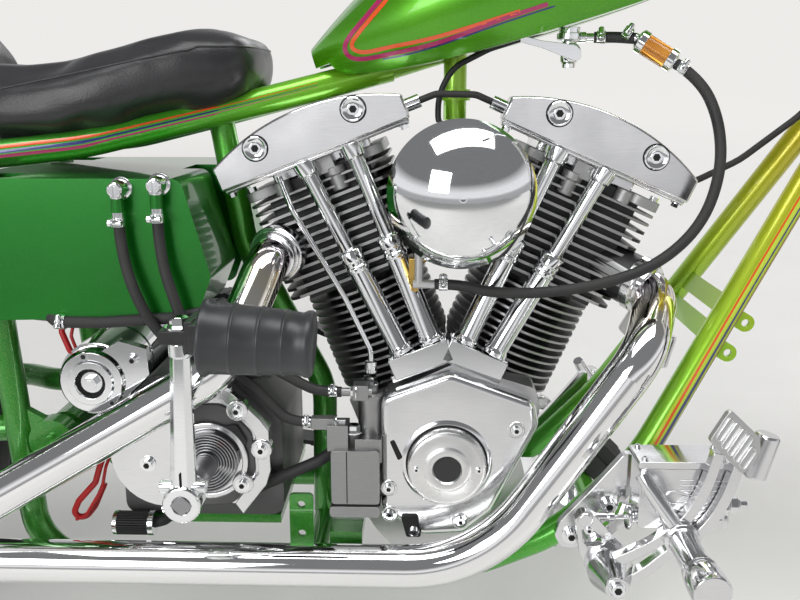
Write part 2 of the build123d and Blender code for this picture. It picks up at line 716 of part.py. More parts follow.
def oil_tank():
    """Oil tank across the frame behind the seat post."""
    outline = [(OIL_TANK_FRONT - 26, OIL_TANK_TOP), (OIL_TANK_FRONT, 510), (OIL_TANK_FRONT - 16, OIL_TANK_FLOOR + 6),
               (OIL_TANK_BACK, OIL_TANK_FLOOR), (OIL_TANK_BACK, OIL_TANK_TOP)]
    body = plate(outline, -OIL_TANK_Y, OIL_TANK_Y, 12)
    body -= Pos(OIL_TANK_FRONT, 0, OIL_TANK_FLOOR) * Box(110, 60, 400)
    for side in (-1, 1):
        body -= Pos(UPRIGHT_X, side * (RAIL_Y - 2), OIL_TANK_FLOOR) * Box(70, 46, 400)
    for x, z, _, _ in OIL_FITTINGS:
        body += rod((x, -OIL_TANK_Y + 2, z), (x, -OIL_TANK_Y - 20, z), 14)
        body += rod((x, -OIL_TANK_Y - 14, z), (x, -OIL_TANK_Y - 14, z - 22), 12)
    return body


def tank_section(width, height):
    """Cross-section of the fuel tank, flat below and full at its shoulders."""
    shoulder = (width * 0.80, height * 0.82)
    waist = (width, height * 0.42)
    base = width * 0.8
    lines = Line((-base, 0), (base, 0))
    lines += ThreePointArc((base, 0), waist, shoulder)
    lines += ThreePointArc(shoulder, (0, height), (-shoulder[0], shoulder[1]))
    lines += ThreePointArc((-shoulder[0], shoulder[1]), (-waist[0], waist[1]), (-base, 0))
    return make_face(lines)


# Sections of the fuel tank from tail to nose
TANK_SECTIONS = (  # share of length, half width, height, lift of the floor
    (0.0, 24, 26, 32),
    (0.14, 72, 84, 12),
    (0.42, 112, 148, 0),
    (0.76, 120, 160, 0),
    (1.0, 80, 112, 14),
)


def fuel_tank():
    """Teardrop fuel tank straddling the backbone."""
    slope = degrees(atan2(BACKBONE_RISE, 1))
    start = Vector(TANK_TAIL_X, 0, backbone_z(TANK_TAIL_X) - 19)
    place = Pos(*start) * Rot(0, -slope, 0)
    sections = []
    for share, width, height, lift in TANK_SECTIONS:
        level = Plane(origin=(share * TANK_LENGTH, 0, lift), x_dir=(0, 1, 0), z_dir=(1, 0, 0))
        sections.append(level * tank_section(width, height))
    body = place * loft(sections)
    tunnel = place * Pos(-20, 0, 0) * Box(TANK_LENGTH + 60, BACKBONE_D + 4, 78, align=(LOW, CENTRE, CENTRE))
    notch = place * Pos(-20, 0, 0) * Box(120, 78, 2 * 36, align=(LOW, CENTRE, CENTRE))
    return body - tunnel - notch


def seat():
    """Two-step seat: the rider's pad and the raised pad over the fender."""
    under = [(x, rail_z(x) + TUBE_D / 2 + 1) for x in (-470, -372, -243, SEAT_NOSE_X)]
    side = [(SEAT_NOSE_X - 12, 744), (-250, 739), (-345, 712), (-440, 700), (-486, 716),
            (-540, 776), (-760, 790), (-800, 770), (-800, 704), (-540, 704), *under]
    edge = Polyline((SEAT_NOSE_X - 64, SEAT_NOSE_HALF), (-330, SEAT_HALF), (-450, SEAT_HALF), (-520, REAR_PAD_HALF),
                    (-800, REAR_PAD_HALF), (-800, -REAR_PAD_HALF), (-520, -REAR_PAD_HALF), (-450, -SEAT_HALF),
                    (-330, -SEAT_HALF), (SEAT_NOSE_X - 64, -SEAT_NOSE_HALF))
    nose = ThreePointArc((SEAT_NOSE_X - 64, -SEAT_NOSE_HALF), (SEAT_NOSE_X, 0), (SEAT_NOSE_X - 64, SEAT_NOSE_HALF))
    plan = extrude(make_face(edge + nose), 1000)
    return plate(side, -130, 130, 4) & plan


# Lines, fuel tap and electrics

FUEL_TAP = (124, -62)
FUEL_BARB = (150, -66, 743)
FUEL_FILTER_START = Vector(189, -80, 740)
FUEL_FILTER_END = Vector(225, -90, 717)
FUEL_INLET = (-12, -116, 497)
HOSE_D = 11.0
OIL_HOSE_D = 11.0
OIL_BARB_Y = -128.0
OIL_FITTINGS = (  # x and z of a fitting on the tank, x and z of its stub on the pump
    (-318, OIL_TANK_TOP - 9, -136, 350),
    (-280, OIL_TANK_TOP - 5, -108, 384),
)


def fuel_tap():
    """Fuel tap under the tank with the in-line glass filter on its short hose."""
    x, y = FUEL_TAP
    floor = backbone_z(x) - 19 - 4.2
    barb = Vector(*FUEL_BARB)
    along = (FUEL_FILTER_END - FUEL_FILTER_START).normalized()
    out = (barb - Vector(x, y, barb.Z)).normalized()
    tap = rod((x, y, floor), (x, y, floor - 26), 14) + rod(Vector(x, y, barb.Z) - out * 12, barb, 9)
    route = [FUEL_BARB, tuple(barb + out * 19), tuple(FUEL_FILTER_START)]
    return tap + hose(route, HOSE_D) + rod(FUEL_FILTER_START - along * 1, FUEL_FILTER_END, 24)


def fuel_hose():
    """Hose from the filter in a wide loop to the carburettor."""
    along = (FUEL_FILTER_END - FUEL_FILTER_START).normalized()
    return hose([tuple(FUEL_FILTER_END), tuple(FUEL_FILTER_END + along * 30), (266, -114, 660), (266, -130, 612),
                 (248, -140, 562), (208, -144, 524), (156, -144, 504), (100, -142, 494), (44, -134, 492),
                 (14, -116, 497), FUEL_INLET], HOSE_D)


OIL_ROUTES = (  # how each hose runs between its fitting on the tank and its stub on the pump
    ((-318, -164, 536), (-300, -169, 480), (-276, -150, 436), (-240, -126, 412), (-206, -122, 392),
     (-182, -124, 367), (-163, OIL_BARB_Y, 350)),
    ((-280, -164, 534), (-266, -169, 488), (-256, -158, 448), (-230, -124, 426), (-190, -116, 411),
     (-154, -124, 393), (-132, OIL_BARB_Y, 384)),
)


def oil_hose(which):
    """Oil hose from the tank's side down behind the kick pedal to the pump: 0 is the rear one."""
    x, z, end_x, end_z = OIL_FITTINGS[which]
    start = (x, -OIL_TANK_Y - 14, z - 22 - RUN)
    return hose([start, *OIL_ROUTES[which], (end_x, OIL_BARB_Y, end_z)], OIL_HOSE_D)


def regulator():
    """Finned voltage regulator low between the downtubes."""
    x, z = REGULATOR_TIE
    body = Pos(0, 0, 22 + RUN) * Box(60, 88, 22)
    for i in range(7):
        body += Pos(0, -36 + i * 12, 40) * Box(60, 4, 18)
    return Pos(x, 0, z) * Rot(0, 45, 0) * body


# Foot controls

PEG_RINGS = 8
BRAKE_BLOCK = (238.0, -172.0)


def forward_control(side):
    """Foot peg and pedal on a plate at the bend of the cradle."""
    near, far = RAIL_Y + TUBE_D / 2 + RUN, RAIL_Y + TUBE_D / 2 + 10
    span = sorted((side * near, side * far))
    body = plate([(120, 232), (140, 270), (230, 330), (262, 316), (228, 250), (150, 214)], *span, 8)
    body += disc((152, 240), 22, *sorted((side * far, side * (far + 70))))
    body += disc((216, 282), 10, *sorted((side * far, side * (far + 50))))
    body += disc((216, 282), 14, *sorted((side * (far + 50), side * (far + 165))))
    for i in range(PEG_RINGS):
        ring_y = far + 52 + i * 14
        body += disc((216, 282), 17, *sorted((side * ring_y, side * (ring_y + 9))))
    pad_y = side * (far + 58)
    body += bent([(152, pad_y, 236), (258, pad_y, 254), (282, pad_y, 344)], [24], 12)
    pad = Pos(286, pad_y, 360) * Rot(0, 35, 0) * Box(20, 44, 76)
    return body + pad


def right_controls():
    """Right foot control with the brake master cylinder block."""
    x, y = BRAKE_BLOCK
    reservoir = Pos(x, y, 312) * Box(96, 40, 42)
    lid = Pos(x, y, 335) * Box(104, 46, 7)
    barrel = rod((x - 54, y, 281), (x + 56, y, 285), 36) + rod((x - 70, y, 280.5), (x - 54, y, 281), 24)
    return forward_control(-1) + reservoir + lid + barrel


def left_controls():
    """Left foot control for the gear change."""
    return forward_control(1)


# Rear end


def wheel(rim_r, rim_w, hub_r, hub_half, place):
    """Wire wheel: rim, laced spokes and hub, turning on its axle."""
    floor = rim_r - RIM_DEPTH
    rim = make_face(Polyline((-rim_w / 2, rim_r), (-rim_w / 2, floor), (rim_w / 2, floor), (rim_w / 2, rim_r),
                             (rim_w / 2 - 4, rim_r), (rim_w / 2 - 8, floor + 6), (8 - rim_w / 2, floor + 6),
                             (4 - rim_w / 2, rim_r), close=True))
    bore, waist, flange = AXLE_D / 2 + RUN, hub_r * 0.6, 8
    hub = make_face(Polyline((-hub_half, bore), (-hub_half, waist), (-hub_half + 4, waist), (-hub_half + 4, hub_r),
                             (-hub_half + 4 + flange, hub_r), (-hub_half + 16 + flange, waist),
                             (hub_half - 16 - flange, waist), (hub_half - 4 - flange, hub_r), (hub_half - 4, hub_r),
                             (hub_half - 4, waist), (hub_half, waist), (hub_half, bore), close=True))
    spokes = []
    for i in range(SPOKES):
        side = 1 if i % 2 else -1
        swing = radians(SPOKE_SWING) * (1 if (i // 2) % 2 else -1)
        angle = 2 * pi * i / SPOKES
        inner, outer = hub_r - 6, floor + 2
        start = (inner * cos(angle + swing), side * (hub_half - 8), inner * sin(angle + swing))
        end = (outer * cos(angle), side * rim_w * 0.12, outer * sin(angle))
        spokes.append(rod(start, end, SPOKE_D))
    return Pos(place.X, 0, place.Z) * (ring(rim, (0, 0)) + [ring(hub, (0, 0)), *spokes])


def tyre(tyre_r, tyre_w, rim_r, rim_w, place):
    """Road tyre: a round crown on a carcass that narrows to the rim."""
    crown = tyre_w / 2
    shoulder = tyre_r - crown
    bead = rim_w / 2 - 2
    lines = ThreePointArc((-crown, shoulder), (0, tyre_r), (crown, shoulder))
    lines += Line((crown, shoulder), (bead, rim_r + RUN)) + Line((bead, rim_r + RUN), (-bead, rim_r + RUN))
    lines += Line((-bead, rim_r + RUN), (-crown, shoulder))
    return ring(make_face(lines), (place.X, place.Z))


def rear_wheel():
    """Rear wire wheel with the chain sprocket and brake disc on its hub."""
    place = (REAR_AXLE.X, REAR_AXLE.Z)
    tooth_root = CHAIN_PITCH / (2 * sin(pi / REAR_TEETH)) - CHAIN_H / 2 - 1
    sprocket = disc(place, tooth_root, CHAIN_Y - 4, CHAIN_Y + 4)
    rotor = disc(place, ROTOR_R, ROTOR_Y - 3, ROTOR_Y + 3)
    for i in range(6):
        angle = 2 * pi * i / 6
        hole = (place[0] + 84 * cos(angle), place[1] + 84 * sin(angle))
        rotor -= disc(hole, 26, ROTOR_Y - 9, ROTOR_Y + 9)
        sprocket -= disc(hole, 22, CHAIN_Y - 9, CHAIN_Y + 9)
    centre_hole = disc(place, AXLE_D / 2 + RUN, -200, 200)
    hub_ends = disc(place, 38, -90, -60) + disc(place, 38, 60, 90)
    return wheel(REAR_RIM_R, REAR_RIM_W, 56, 76, REAR_AXLE) + [sprocket - centre_hole, rotor - centre_hole,
                                                              hub_ends - centre_hole]


def front_wheel():
    """Front wire wheel on a small spool hub."""
    return wheel(FRONT_RIM_R, FRONT_RIM_W, 36, 44, FRONT_AXLE)


def swing_arm():
    """Swing arm that carries the rear wheel: pivot tube and two bent arms."""
    arm = bent([(PIVOT_X, ARM_PIVOT_Y, PIVOT_Z), (-500, ARM_PIVOT_Y, PIVOT_Z - 1), (-548, ARM_Y, REAR_AXLE.Z + 2),
                (REAR_AXLE.X - 22, ARM_Y, REAR_AXLE.Z)], [50, 50], ARM_D)
    arm -= disc((REAR_AXLE.X, REAR_AXLE.Z), AXLE_D / 2 + RUN, ARM_Y - 30, ARM_Y + 30)
    body = both_sides(arm) + disc((PIVOT_X, PIVOT_Z), 19, -ARM_PIVOT_Y, ARM_PIVOT_Y)
    bolt_end = RAIL_Y + 18
    body += disc((PIVOT_X, PIVOT_Z), PIVOT_BOLT_D / 2, -bolt_end, bolt_end)
    return body


def rear_axle():
    """Rear axle with its nuts, and the brake caliper that hangs on it."""
    half = ARM_Y + ARM_D / 2
    place = (REAR_AXLE.X, REAR_AXLE.Z)
    axle = disc(place, AXLE_D / 2, -half - 14, half + 14)
    for side in (-1, 1):
        axle += disc(place, 16, *sorted((side * (half + RUN), side * (half + 12))))
        axle += disc(place, 15, *sorted((side * (90 + 2 * RUN), side * (ARM_Y - ARM_D / 2 - RUN))))
    hang = (place[0] + 104, place[1] + 92)
    caliper = Pos(hang[0], ROTOR_Y, hang[1]) * Rot(0, -48, 0) * Box(46, 52, 84)
    caliper -= disc(place, ROTOR_R + 5, ROTOR_Y - 8, ROTOR_Y + 8)
    caliper += disc(hang, 19, ROTOR_Y - 33, ROTOR_Y - 20)
    bracket = rod((place[0], -96, place[1]), (hang[0] - 10, -101, hang[1] - 6), 12)
    return axle + caliper + bracket - disc(place, 38 + 5, -90 - RUN, 90)


def rear_shocks():
    """Pair of chrome spring shock absorbers between the fender struts and the swing arm."""
    shock_y = SEAT_RAIL_Y + 44
    top = (SHOCK_TOP_X, shock_y, rail_z(SHOCK_TOP_X))
    foot = (SHOCK_FOOT_X, shock_y, 350)
    top_point, foot_point = Vector(*top), Vector(*foot)
    leg = foot_point - top_point
    body = rod(top, foot, SHOCK_D - 14) + rod(top, top_point + leg * 0.28, SHOCK_D)
    body += rod(foot_point - leg * 0.12, foot, SHOCK_D)
    for i in range(SHOCK_COILS):
        share = 0.30 + 0.57 * i / (SHOCK_COILS - 1)
        coil = Plane(origin=top_point + leg * share, z_dir=leg) * Cylinder(SHOCK_D / 2 - 1, SHOCK_WIRE)
        body += coil
    body += rod((top[0], SEAT_RAIL_Y + TUBE_D / 2 + RUN, top[2]), (top[0], shock_y + 20, top[2]), 14)
    body += rod((foot[0], ARM_Y - 8, foot[2]), (foot[0], shock_y, foot[2]), 14)
    return both_sides(body)


FENDER_BOSSES = (178, 60)  # how far each pair stands in front of the axle


def rear_fender():
    """Round rear fender over the tyre, on bosses against the struts."""
    outer, inner, low = FENDER_R + FENDER_SHEET, FENDER_R, FENDER_R - FENDER_SKIRT
    half = FENDER_W / 2
    profile = make_face(Polyline((-half, low), (-half, outer), (half, outer), (half, low),
                                 (half - FENDER_SHEET, low), (half - FENDER_SHEET, inner),
                                 (FENDER_SHEET - half, inner), (FENDER_SHEET - half, low), close=True))
    turned = revolve(Plane.YZ * profile, Axis.Y, revolution_arc=FENDER_ARC)
    body = Pos(REAR_AXLE.X, 0, REAR_AXLE.Z) * Rot(0, -FENDER_REAR, 0) * turned
    strut = SEAT_RAIL_Y - TUBE_D / 2 - RUN
    for ahead in FENDER_BOSSES:
        x = REAR_AXLE.X + ahead
        body += both_sides(disc((x, rail_z(x)), 9, half - 1, strut))
    return body


def tail_lamp():
    """Round tail lamp on the fender."""
    back, up = 0.66 * FENDER_R, 0.73 * FENDER_R
    lamp = Pos(REAR_AXLE.X - back, 0, REAR_AXLE.Z + up) * Rot(0, -90, 0)
    lamp *= Cylinder(34, 84, align=(CENTRE, CENTRE, LOW))
    return lamp - disc((REAR_AXLE.X, REAR_AXLE.Z), FENDER_R + FENDER_SHEET + RUN, -50, 50)


# Front end, drawn straight ahead in the steering neck's frame


def triple_trees():
    """Steering stem with its lower and upper yokes."""
    body = Cylinder(STEM_D / 2, NECK_LENGTH + 2 * TREE_GAP + TREE_THICK)
    for end in (-1, 1):
        z = end * (NECK_LENGTH / 2 + TREE_GAP + TREE_THICK / 2)
        yoke = Pos(0, 0, z) * Cylinder(26, TREE_THICK) + Pos(TREE_OFFSET, 0, z) * Box(44, 2 * FORK_Y, TREE_THICK)
        yoke += Pos(TREE_OFFSET / 2, 0, z) * Box(TREE_OFFSET, 52, TREE_THICK)
        for side in (-1, 1):
            yoke += Pos(TREE_OFFSET, side * FORK_Y, z) * Cylinder(STANCHION_D / 2 + 9, TREE_THICK)
            yoke -= Pos(TREE_OFFSET, side * FORK_Y, z) * Cylinder(STANCHION_D / 2 + 0.05, TREE_THICK)
        body += yoke
    return NECK * body


def fork_legs():
    """Two long fork legs, chrome stanchions in aluminium sliders, with the axle between them."""
    top = NECK_LENGTH / 2 + TREE_GAP + TREE_THICK + 10
    leg = Pos(TREE_OFFSET, FORK_Y, -FRONT_DROP) * Cylinder(STANCHION_D / 2, FRONT_DROP + top, align=(CENTRE, CENTRE, LOW))
    slider_low = -FRONT_DROP - 30
    leg += Pos(TREE_OFFSET, FORK_Y, slider_low) * Cylinder(SLIDER_D / 2, SLIDER_LENGTH, align=(CENTRE, CENTRE, LOW))
    legs = both_sides(leg)
    axle = Pos(TREE_OFFSET, 0, -FRONT_DROP) * Rot(90, 0, 0) * Cylinder(AXLE_D / 2, 2 * FORK_Y)
    return NECK * (legs + axle)


BAR_CLAMP_UP = NECK_LENGTH / 2 + TREE_GAP + TREE_THICK + 90


def handlebar():
    """Pull-back handlebar on two risers, with its grips."""
    foot = NECK_LENGTH / 2 + TREE_GAP + TREE_THICK + RUN
    clamp = NECK.from_local_coords(Vector(TREE_OFFSET, 0, BAR_CLAMP_UP))
    grip_x, grip_z = clamp.X - 250, clamp.Z + 70
    half = bent([(clamp.X, 0, clamp.Z), (clamp.X, 105, clamp.Z), (clamp.X - 20, 215, clamp.Z + 150),
                 (clamp.X - 60, BAR_HALF_WIDTH - 60, clamp.Z + 150), (grip_x, BAR_HALF_WIDTH, grip_z)],
                [50, 55, 45], BAR_D)
    end = Vector(grip_x, BAR_HALF_WIDTH, grip_z)
    inward = (Vector(clamp.X - 60, BAR_HALF_WIDTH - 60, clamp.Z + 150) - end).normalized()
    half += rod(end + inward * 8, end + inward * (8 + GRIP_LENGTH), GRIP_D)
    riser = NECK * Pos(TREE_OFFSET, 44, foot) * Cylinder(17, BAR_CLAMP_UP + 8 - foot, align=(CENTRE, CENTRE, LOW))
    ahead = Vector(1, 0, -0.25)
    ahead = (ahead - inward * ahead.dot(inward)).normalized()
    perch = end + inward * (GRIP_LENGTH + 30)
    tip = end + inward * 20 + ahead * 52
    lever = rod(perch - inward * 10, perch + inward * 10, BAR_D + 10) + rod(perch, perch + ahead * 40, 16)
    lever += rod(perch + ahead * 36, tip, 10) + Pos(*tip) * Sphere(8)
    return both_sides(half + riser) + lever


def headlamp():
    """Round headlamp in front of the lower yoke."""
    depth = 110.0
    profile = make_face(Polyline((0, 0), (0, depth), (LAMP_D / 2, depth), (LAMP_D / 2, depth - 22))
                        + ThreePointArc((LAMP_D / 2, depth - 22), (LAMP_D / 2 * 0.8, depth * 0.32), (0, 0)))
    shell = revolve(Plane.XZ * profile, Axis.Z)
    shell += Pos(0, 0, depth - 18) * Cylinder(LAMP_D / 2 + 4, 14, align=(CENTRE, CENTRE, LOW))
    front = NECK.from_local_coords(Vector(TREE_OFFSET + 22, 0, -NECK_LENGTH / 2 - TREE_GAP - TREE_THICK / 2))
    lamp = Pos(front.X + 26, 0, front.Z + 2) * Rot(0, 86, 0) * shell
    lamp += rod((front.X - 2, 0, front.Z), (front.X + 40, 0, front.Z + 2), 20)
    yoke_z = -NECK_LENGTH / 2 - TREE_GAP - TREE_THICK / 2
    return lamp - NECK * Pos(TREE_OFFSET, 0, yoke_z) * Box(44 + 2 * RUN, 80, TREE_THICK + 2 * RUN)


def stand_foot():
    """Where the side stand meets the floor, as a point in the upright drawing."""
    return parked().inverse() * Pos(STAND_FOOT_X, STAND_FOOT_Y, 0)


def side_stand():
    """Side stand: hinge eye, bent leg and round foot flat on the floor."""
    foot = stand_foot()
    pad = foot * Cylinder(STAND_FOOT_R, STAND_FOOT_THICK, align=(CENTRE, CENTRE, LOW))
    ankle = (foot * Pos(0, 0, STAND_FOOT_THICK - 2)).position
    knee = (foot * Pos(-6, -16, 46)).position
    eye = disc((STAND_X, STAND_Z), 15, STAND_Y - 8, STAND_Y + 8)
    leg = bent([(STAND_X, STAND_Y, STAND_Z), tuple(knee), tuple(ankle)], [24], STAND_D)
    bore = disc((STAND_X, STAND_Z), 6 + RUN, STAND_Y - 30, STAND_Y + 30)
    return eye + leg + pad - bore


def stand_bracket():
    """Bracket under the left rail that the side stand hinges on, with its pivot bolt."""
    bolt = disc((STAND_X, STAND_Z), 6, RAIL_Y - 6, STAND_Y + 12)
    return bolt + disc((STAND_X, STAND_Z), 15, RAIL_Y + 4, STAND_Y - 8 - RUN)


def kick_arm():
    """Kick arm clamped on its shaft, with the pin that the pedal folds on."""
    eye = disc((KICK_X, KICK_Z), 18, KICK_ARM_Y - 9, KICK_ARM_Y + 9)
    eye += disc((KICK_X, KICK_Z), 10, KICK_ARM_Y + 9, -202 - RUN)
    bar = loop_face((KICK_X, KICK_Z), 15, (KICK_ARM_TOP_X, KICK_ARM_TOP_Z), 11)
    arm = Pos(0, KICK_ARM_Y + 8, 0) * extrude(Plane.XZ * bar, 16)
    knuckle = rod((KICK_ARM_TOP_X, KICK_ARM_Y, KICK_ARM_TOP_Z - 20), (KICK_ARM_TOP_X, KICK_ARM_Y, KICK_ARM_TOP_Z + 20), 26)
    pin = rod((KICK_ARM_TOP_X, KICK_ARM_Y, KICK_ARM_TOP_Z), (KICK_ARM_TOP_X, PEDAL_Y, KICK_ARM_TOP_Z), 14)
    hinge = rod((KICK_ARM_TOP_X, PEDAL_Y, KICK_ARM_TOP_Z - 18), (KICK_ARM_TOP_X, PEDAL_Y, KICK_ARM_TOP_Z + 18),
                2 * PEDAL_HINGE_R)
    return eye + arm + knuckle + pin + hinge


def kick_pedal():
    """Ribbed rubber kick pedal, folded forward."""
    start = KICK_ARM_TOP_X + PEDAL_HINGE_R + RUN
    rib = 3.0
    pedal = rod((start, PEDAL_Y, KICK_ARM_TOP_Z), (start + PEDAL_LENGTH, PEDAL_Y, KICK_ARM_TOP_Z), PEDAL_D - 2 * rib)
    for i in range(PEDAL_RIBS):
        angle = 360 * i / PEDAL_RIBS
        strip = Pos(0, 0, PEDAL_D / 2 - rib - 1) * Box(PEDAL_LENGTH, 7, rib + 1, align=(LOW, CENTRE, LOW))
        pedal += Pos(start, PEDAL_Y, KICK_ARM_TOP_Z) * Rot(angle, 0, 0) * strip
    return pedal


# Placement of the parked machine


def lowest(axle, spin, tyre_r, tyre_w):
    """Height of a round-crowned tyre's lowest point: axle is its centre and spin its axis."""
    crown = tyre_w / 2
    return axle.Z - (tyre_r - crown) * sqrt(1 - spin.Z ** 2) - crown


def steered():
    """Turn of the front end from straight ahead onto its left stop."""
    return NECK.location * Rot(0, 0, STEER_LOCK) * NECK.location.inverse()


def parked():
    """Turn and lift that lay the upright drawing onto both tyres and the side stand."""
    front_centre = (steered() * Pos(*FRONT_AXLE)).position
    spin_end = (steered() * Pos(*FRONT_AXLE) * Pos(0, 1, 0)).position
    spin = spin_end - front_centre
    low, high = -4.0, 4.0
    for _ in range(40):
        pitch = (low + high) / 2
        turn = Rot(-LEAN, 0, 0) * Rot(0, pitch, 0)
        front = lowest((turn * Pos(*front_centre)).position, (turn * Pos(*spin)).position, FRONT_TYRE_R, FRONT_TYRE_W)
        rear = lowest((turn * Pos(*REAR_AXLE)).position, (turn * Pos(0, 1, 0)).position, REAR_TYRE_R, REAR_TYRE_W)
        if front > rear:
            low = pitch
        else:
            high = pitch
    return Pos(0, 0, -rear) * turn


STEERED_PIECES = ("triple_trees", "fork_legs", "handlebar", "headlamp", "front_wheel", "front_tyre")


def build():
    """Every piece by name, upright and straight ahead."""
    return {
        "frame_backbone": frame_backbone(),
        "frame_seat_post": frame_seat_post(),
        "frame_cradle_right": cradle(-1) + accessory_tabs() + rail_bracket(),
        "frame_cradle_left": cradle(1) + stand_bracket(),
        "frame_cross_members": frame_cross_members(),
        "crankcase": crankcase(),
        "cam_cover": cam_cover(),
        "front_cylinder": cylinder(1),
        "rear_cylinder": cylinder(-1),
        "front_rocker_box": rocker_box(1),
        "rear_rocker_box": rocker_box(-1),
        "pushrod_tubes": pushrod_tubes(),
        "rocker_oil_lines": rocker_oil_lines(),
        "oil_pump": oil_pump(),
        "carburettor": carburettor(),
        "air_cleaner": air_cleaner(),
        "transmission": transmission(),
        "kicker_cover": kicker_cover(),
        "starter_motor": starter_motor(),
        "primary_pulleys": primary_pulleys(),
        "primary_belt": primary_belt(),
        "final_chain": final_chain(),
        "front_pipe": front_pipe(),
        "rear_pipe": rear_pipe(),
        "oil_tank": oil_tank(),
        "fuel_tank": fuel_tank(),
        "seat": seat(),
        "fuel_tap": fuel_tap(),
        "fuel_hose": fuel_hose(),
        "oil_feed_hose": oil_hose(0),
        "oil_return_hose": oil_hose(1),
        "regulator": regulator(),
        "right_controls": right_controls(),
        "left_controls": left_controls(),
        "rear_wheel": rear_wheel(),
        "rear_tyre": tyre(REAR_TYRE_R, REAR_TYRE_W, REAR_RIM_R, REAR_RIM_W, REAR_AXLE),
        "swing_arm": swing_arm(),
        "rear_axle": rear_axle(),
        "rear_shocks": rear_shocks(),
        "rear_fender": rear_fender(),
        "tail_lamp": tail_lamp(),
        "triple_trees": triple_trees(),
        "fork_legs": fork_legs(),
        "handlebar": handlebar(),
        "headlamp": headlamp(),
        "front_wheel": front_wheel(),
        "front_tyre": tyre(FRONT_TYRE_R, FRONT_TYRE_W, FRONT_RIM_R, FRONT_RIM_W, FRONT_AXLE),
        "side_stand": side_stand(),
        "kick_arm": kick_arm(),
        "kick_pedal": kick_pedal(),
    }


os.makedirs("parts", exist_ok=True)
pieces = build()
turn = parked()
for name, piece in pieces.items():
    place = turn * steered() if name in STEERED_PIECES else turn
    pieces[name] = place * piece
boxes = [piece.bounding_box() for piece in pieces.values()]
middle_x = (min(b.min.X for b in boxes) + max(b.max.X for b in boxes)) / 2
middle_y = (min(b.min.Y for b in boxes) + max(b.max.Y for b in boxes)) / 2
floor = min(b.min.Z for b in boxes)
centre = Pos(-middle_x, -middle_y, -floor)
for name, piece in pieces.items():
    export_step(centre * piece, f"parts/{name}.step")


def report(label, place, along=None):
    """Print a point of the upright drawing, and a direction, as they lie on the parked machine."""
    frame = centre * turn
    point = (frame * Pos(*place)).position
    line = f"{label} {point.X / 1000:.5f} {point.Y / 1000:.5f} {point.Z / 1000:.5f}"
    if along is not None:
        heading = (frame * Pos(*(Vector(*place) + Vector(*along)))).position - point
        heading = heading.normalized()
        line += f" axis {heading.X:.6f} {heading.Y:.6f} {heading.Z:.6f}"
    print(line)


front_hub = (steered() * Pos(*FRONT_AXLE)).position
front_spin = (steered() * Pos(*FRONT_AXLE) * Pos(0, 1, 0)).position - front_hub
report("steering", (NECK_X, 0, NECK_Z), STEER_AXIS)
report("front_wheel", front_hub, front_spin)
report("rear_wheel", REAR_AXLE, (0, 1, 0))
report("side_stand", (STAND_X, STAND_Y, STAND_Z), (0, 1, 0))
report("kick_lever", (KICK_X, KICK_ARM_Y, KICK_Z), (0, 1, 0))
report("engine", CRANK)
for height in TAB_HEIGHTS:
    report(f"tab_{round(height)}", tab_hole(height), (0, 1, 0))
for height in BRACKET_HOLES:
    report(f"bracket_{round(height)}", (BRACKET_X, TAB_THICK / 2 - BRACKET_Y, height), (0, 1, 0))
whole = [max(b.max.X for b in boxes) - min(b.min.X for b in boxes), max(b.max.Y for b in boxes)
         - min(b.min.Y for b in boxes), max(b.max.Z for b in boxes) - floor]
print("size", [round(side, 1) for side in whole], "floor", round(floor, 3), "pitch solved")
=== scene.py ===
"""Chopper motorcycle with an open V-twin, parked on its side stand."""
import json
from math import asin, atan2, cos, hypot, pi, radians, sin, sqrt, tan

import bmesh
import bpy
from mathutils import Matrix, Vector
from mathutils.bvhtree import BVHTree


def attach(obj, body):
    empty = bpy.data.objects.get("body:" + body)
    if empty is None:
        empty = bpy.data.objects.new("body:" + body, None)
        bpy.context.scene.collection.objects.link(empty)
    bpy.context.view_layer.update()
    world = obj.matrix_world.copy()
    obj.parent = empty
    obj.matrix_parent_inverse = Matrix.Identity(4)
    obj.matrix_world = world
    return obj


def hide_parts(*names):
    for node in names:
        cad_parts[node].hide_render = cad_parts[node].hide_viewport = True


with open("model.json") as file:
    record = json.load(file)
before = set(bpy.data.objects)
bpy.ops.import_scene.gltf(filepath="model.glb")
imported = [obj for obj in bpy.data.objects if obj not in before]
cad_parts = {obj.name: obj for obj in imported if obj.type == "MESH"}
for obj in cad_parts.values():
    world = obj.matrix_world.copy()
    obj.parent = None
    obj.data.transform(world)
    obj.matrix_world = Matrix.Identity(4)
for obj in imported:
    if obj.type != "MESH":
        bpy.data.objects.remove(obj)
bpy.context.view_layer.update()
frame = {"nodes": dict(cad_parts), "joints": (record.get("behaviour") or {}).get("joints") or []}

# Stance
# The real machine leans to its left on the side stand, with the bars turned onto their left stop.
# Each piece is drawn upright and straight ahead, in millimetres, then laid over into this stance.
rear_axle, steering_head, rake = Vector((-840, 0, 320)), Vector((473, 0, 840)), radians(40)
joints = {joint["name"]: joint for joint in frame["joints"]}
pitch = rake + asin(joints["steering"]["axis"][0])
lean = Matrix.Rotation(radians(-10), 4, "X") @ Matrix.Rotation(pitch, 4, "Y")
rear_hub = Vector(joints["rear_wheel_spin"]["pos_m"])
to_metres = Matrix.Scale(0.001, 4)
straight_ahead = Matrix.Translation(rear_hub - lean @ to_metres @ rear_axle) @ lean @ to_metres
neck = Matrix.Translation(steering_head) @ Matrix.Rotation(-rake, 4, "Y")
turned_left = straight_ahead @ neck @ Matrix.Rotation(radians(28), 4, "Z") @ neck.inverted()

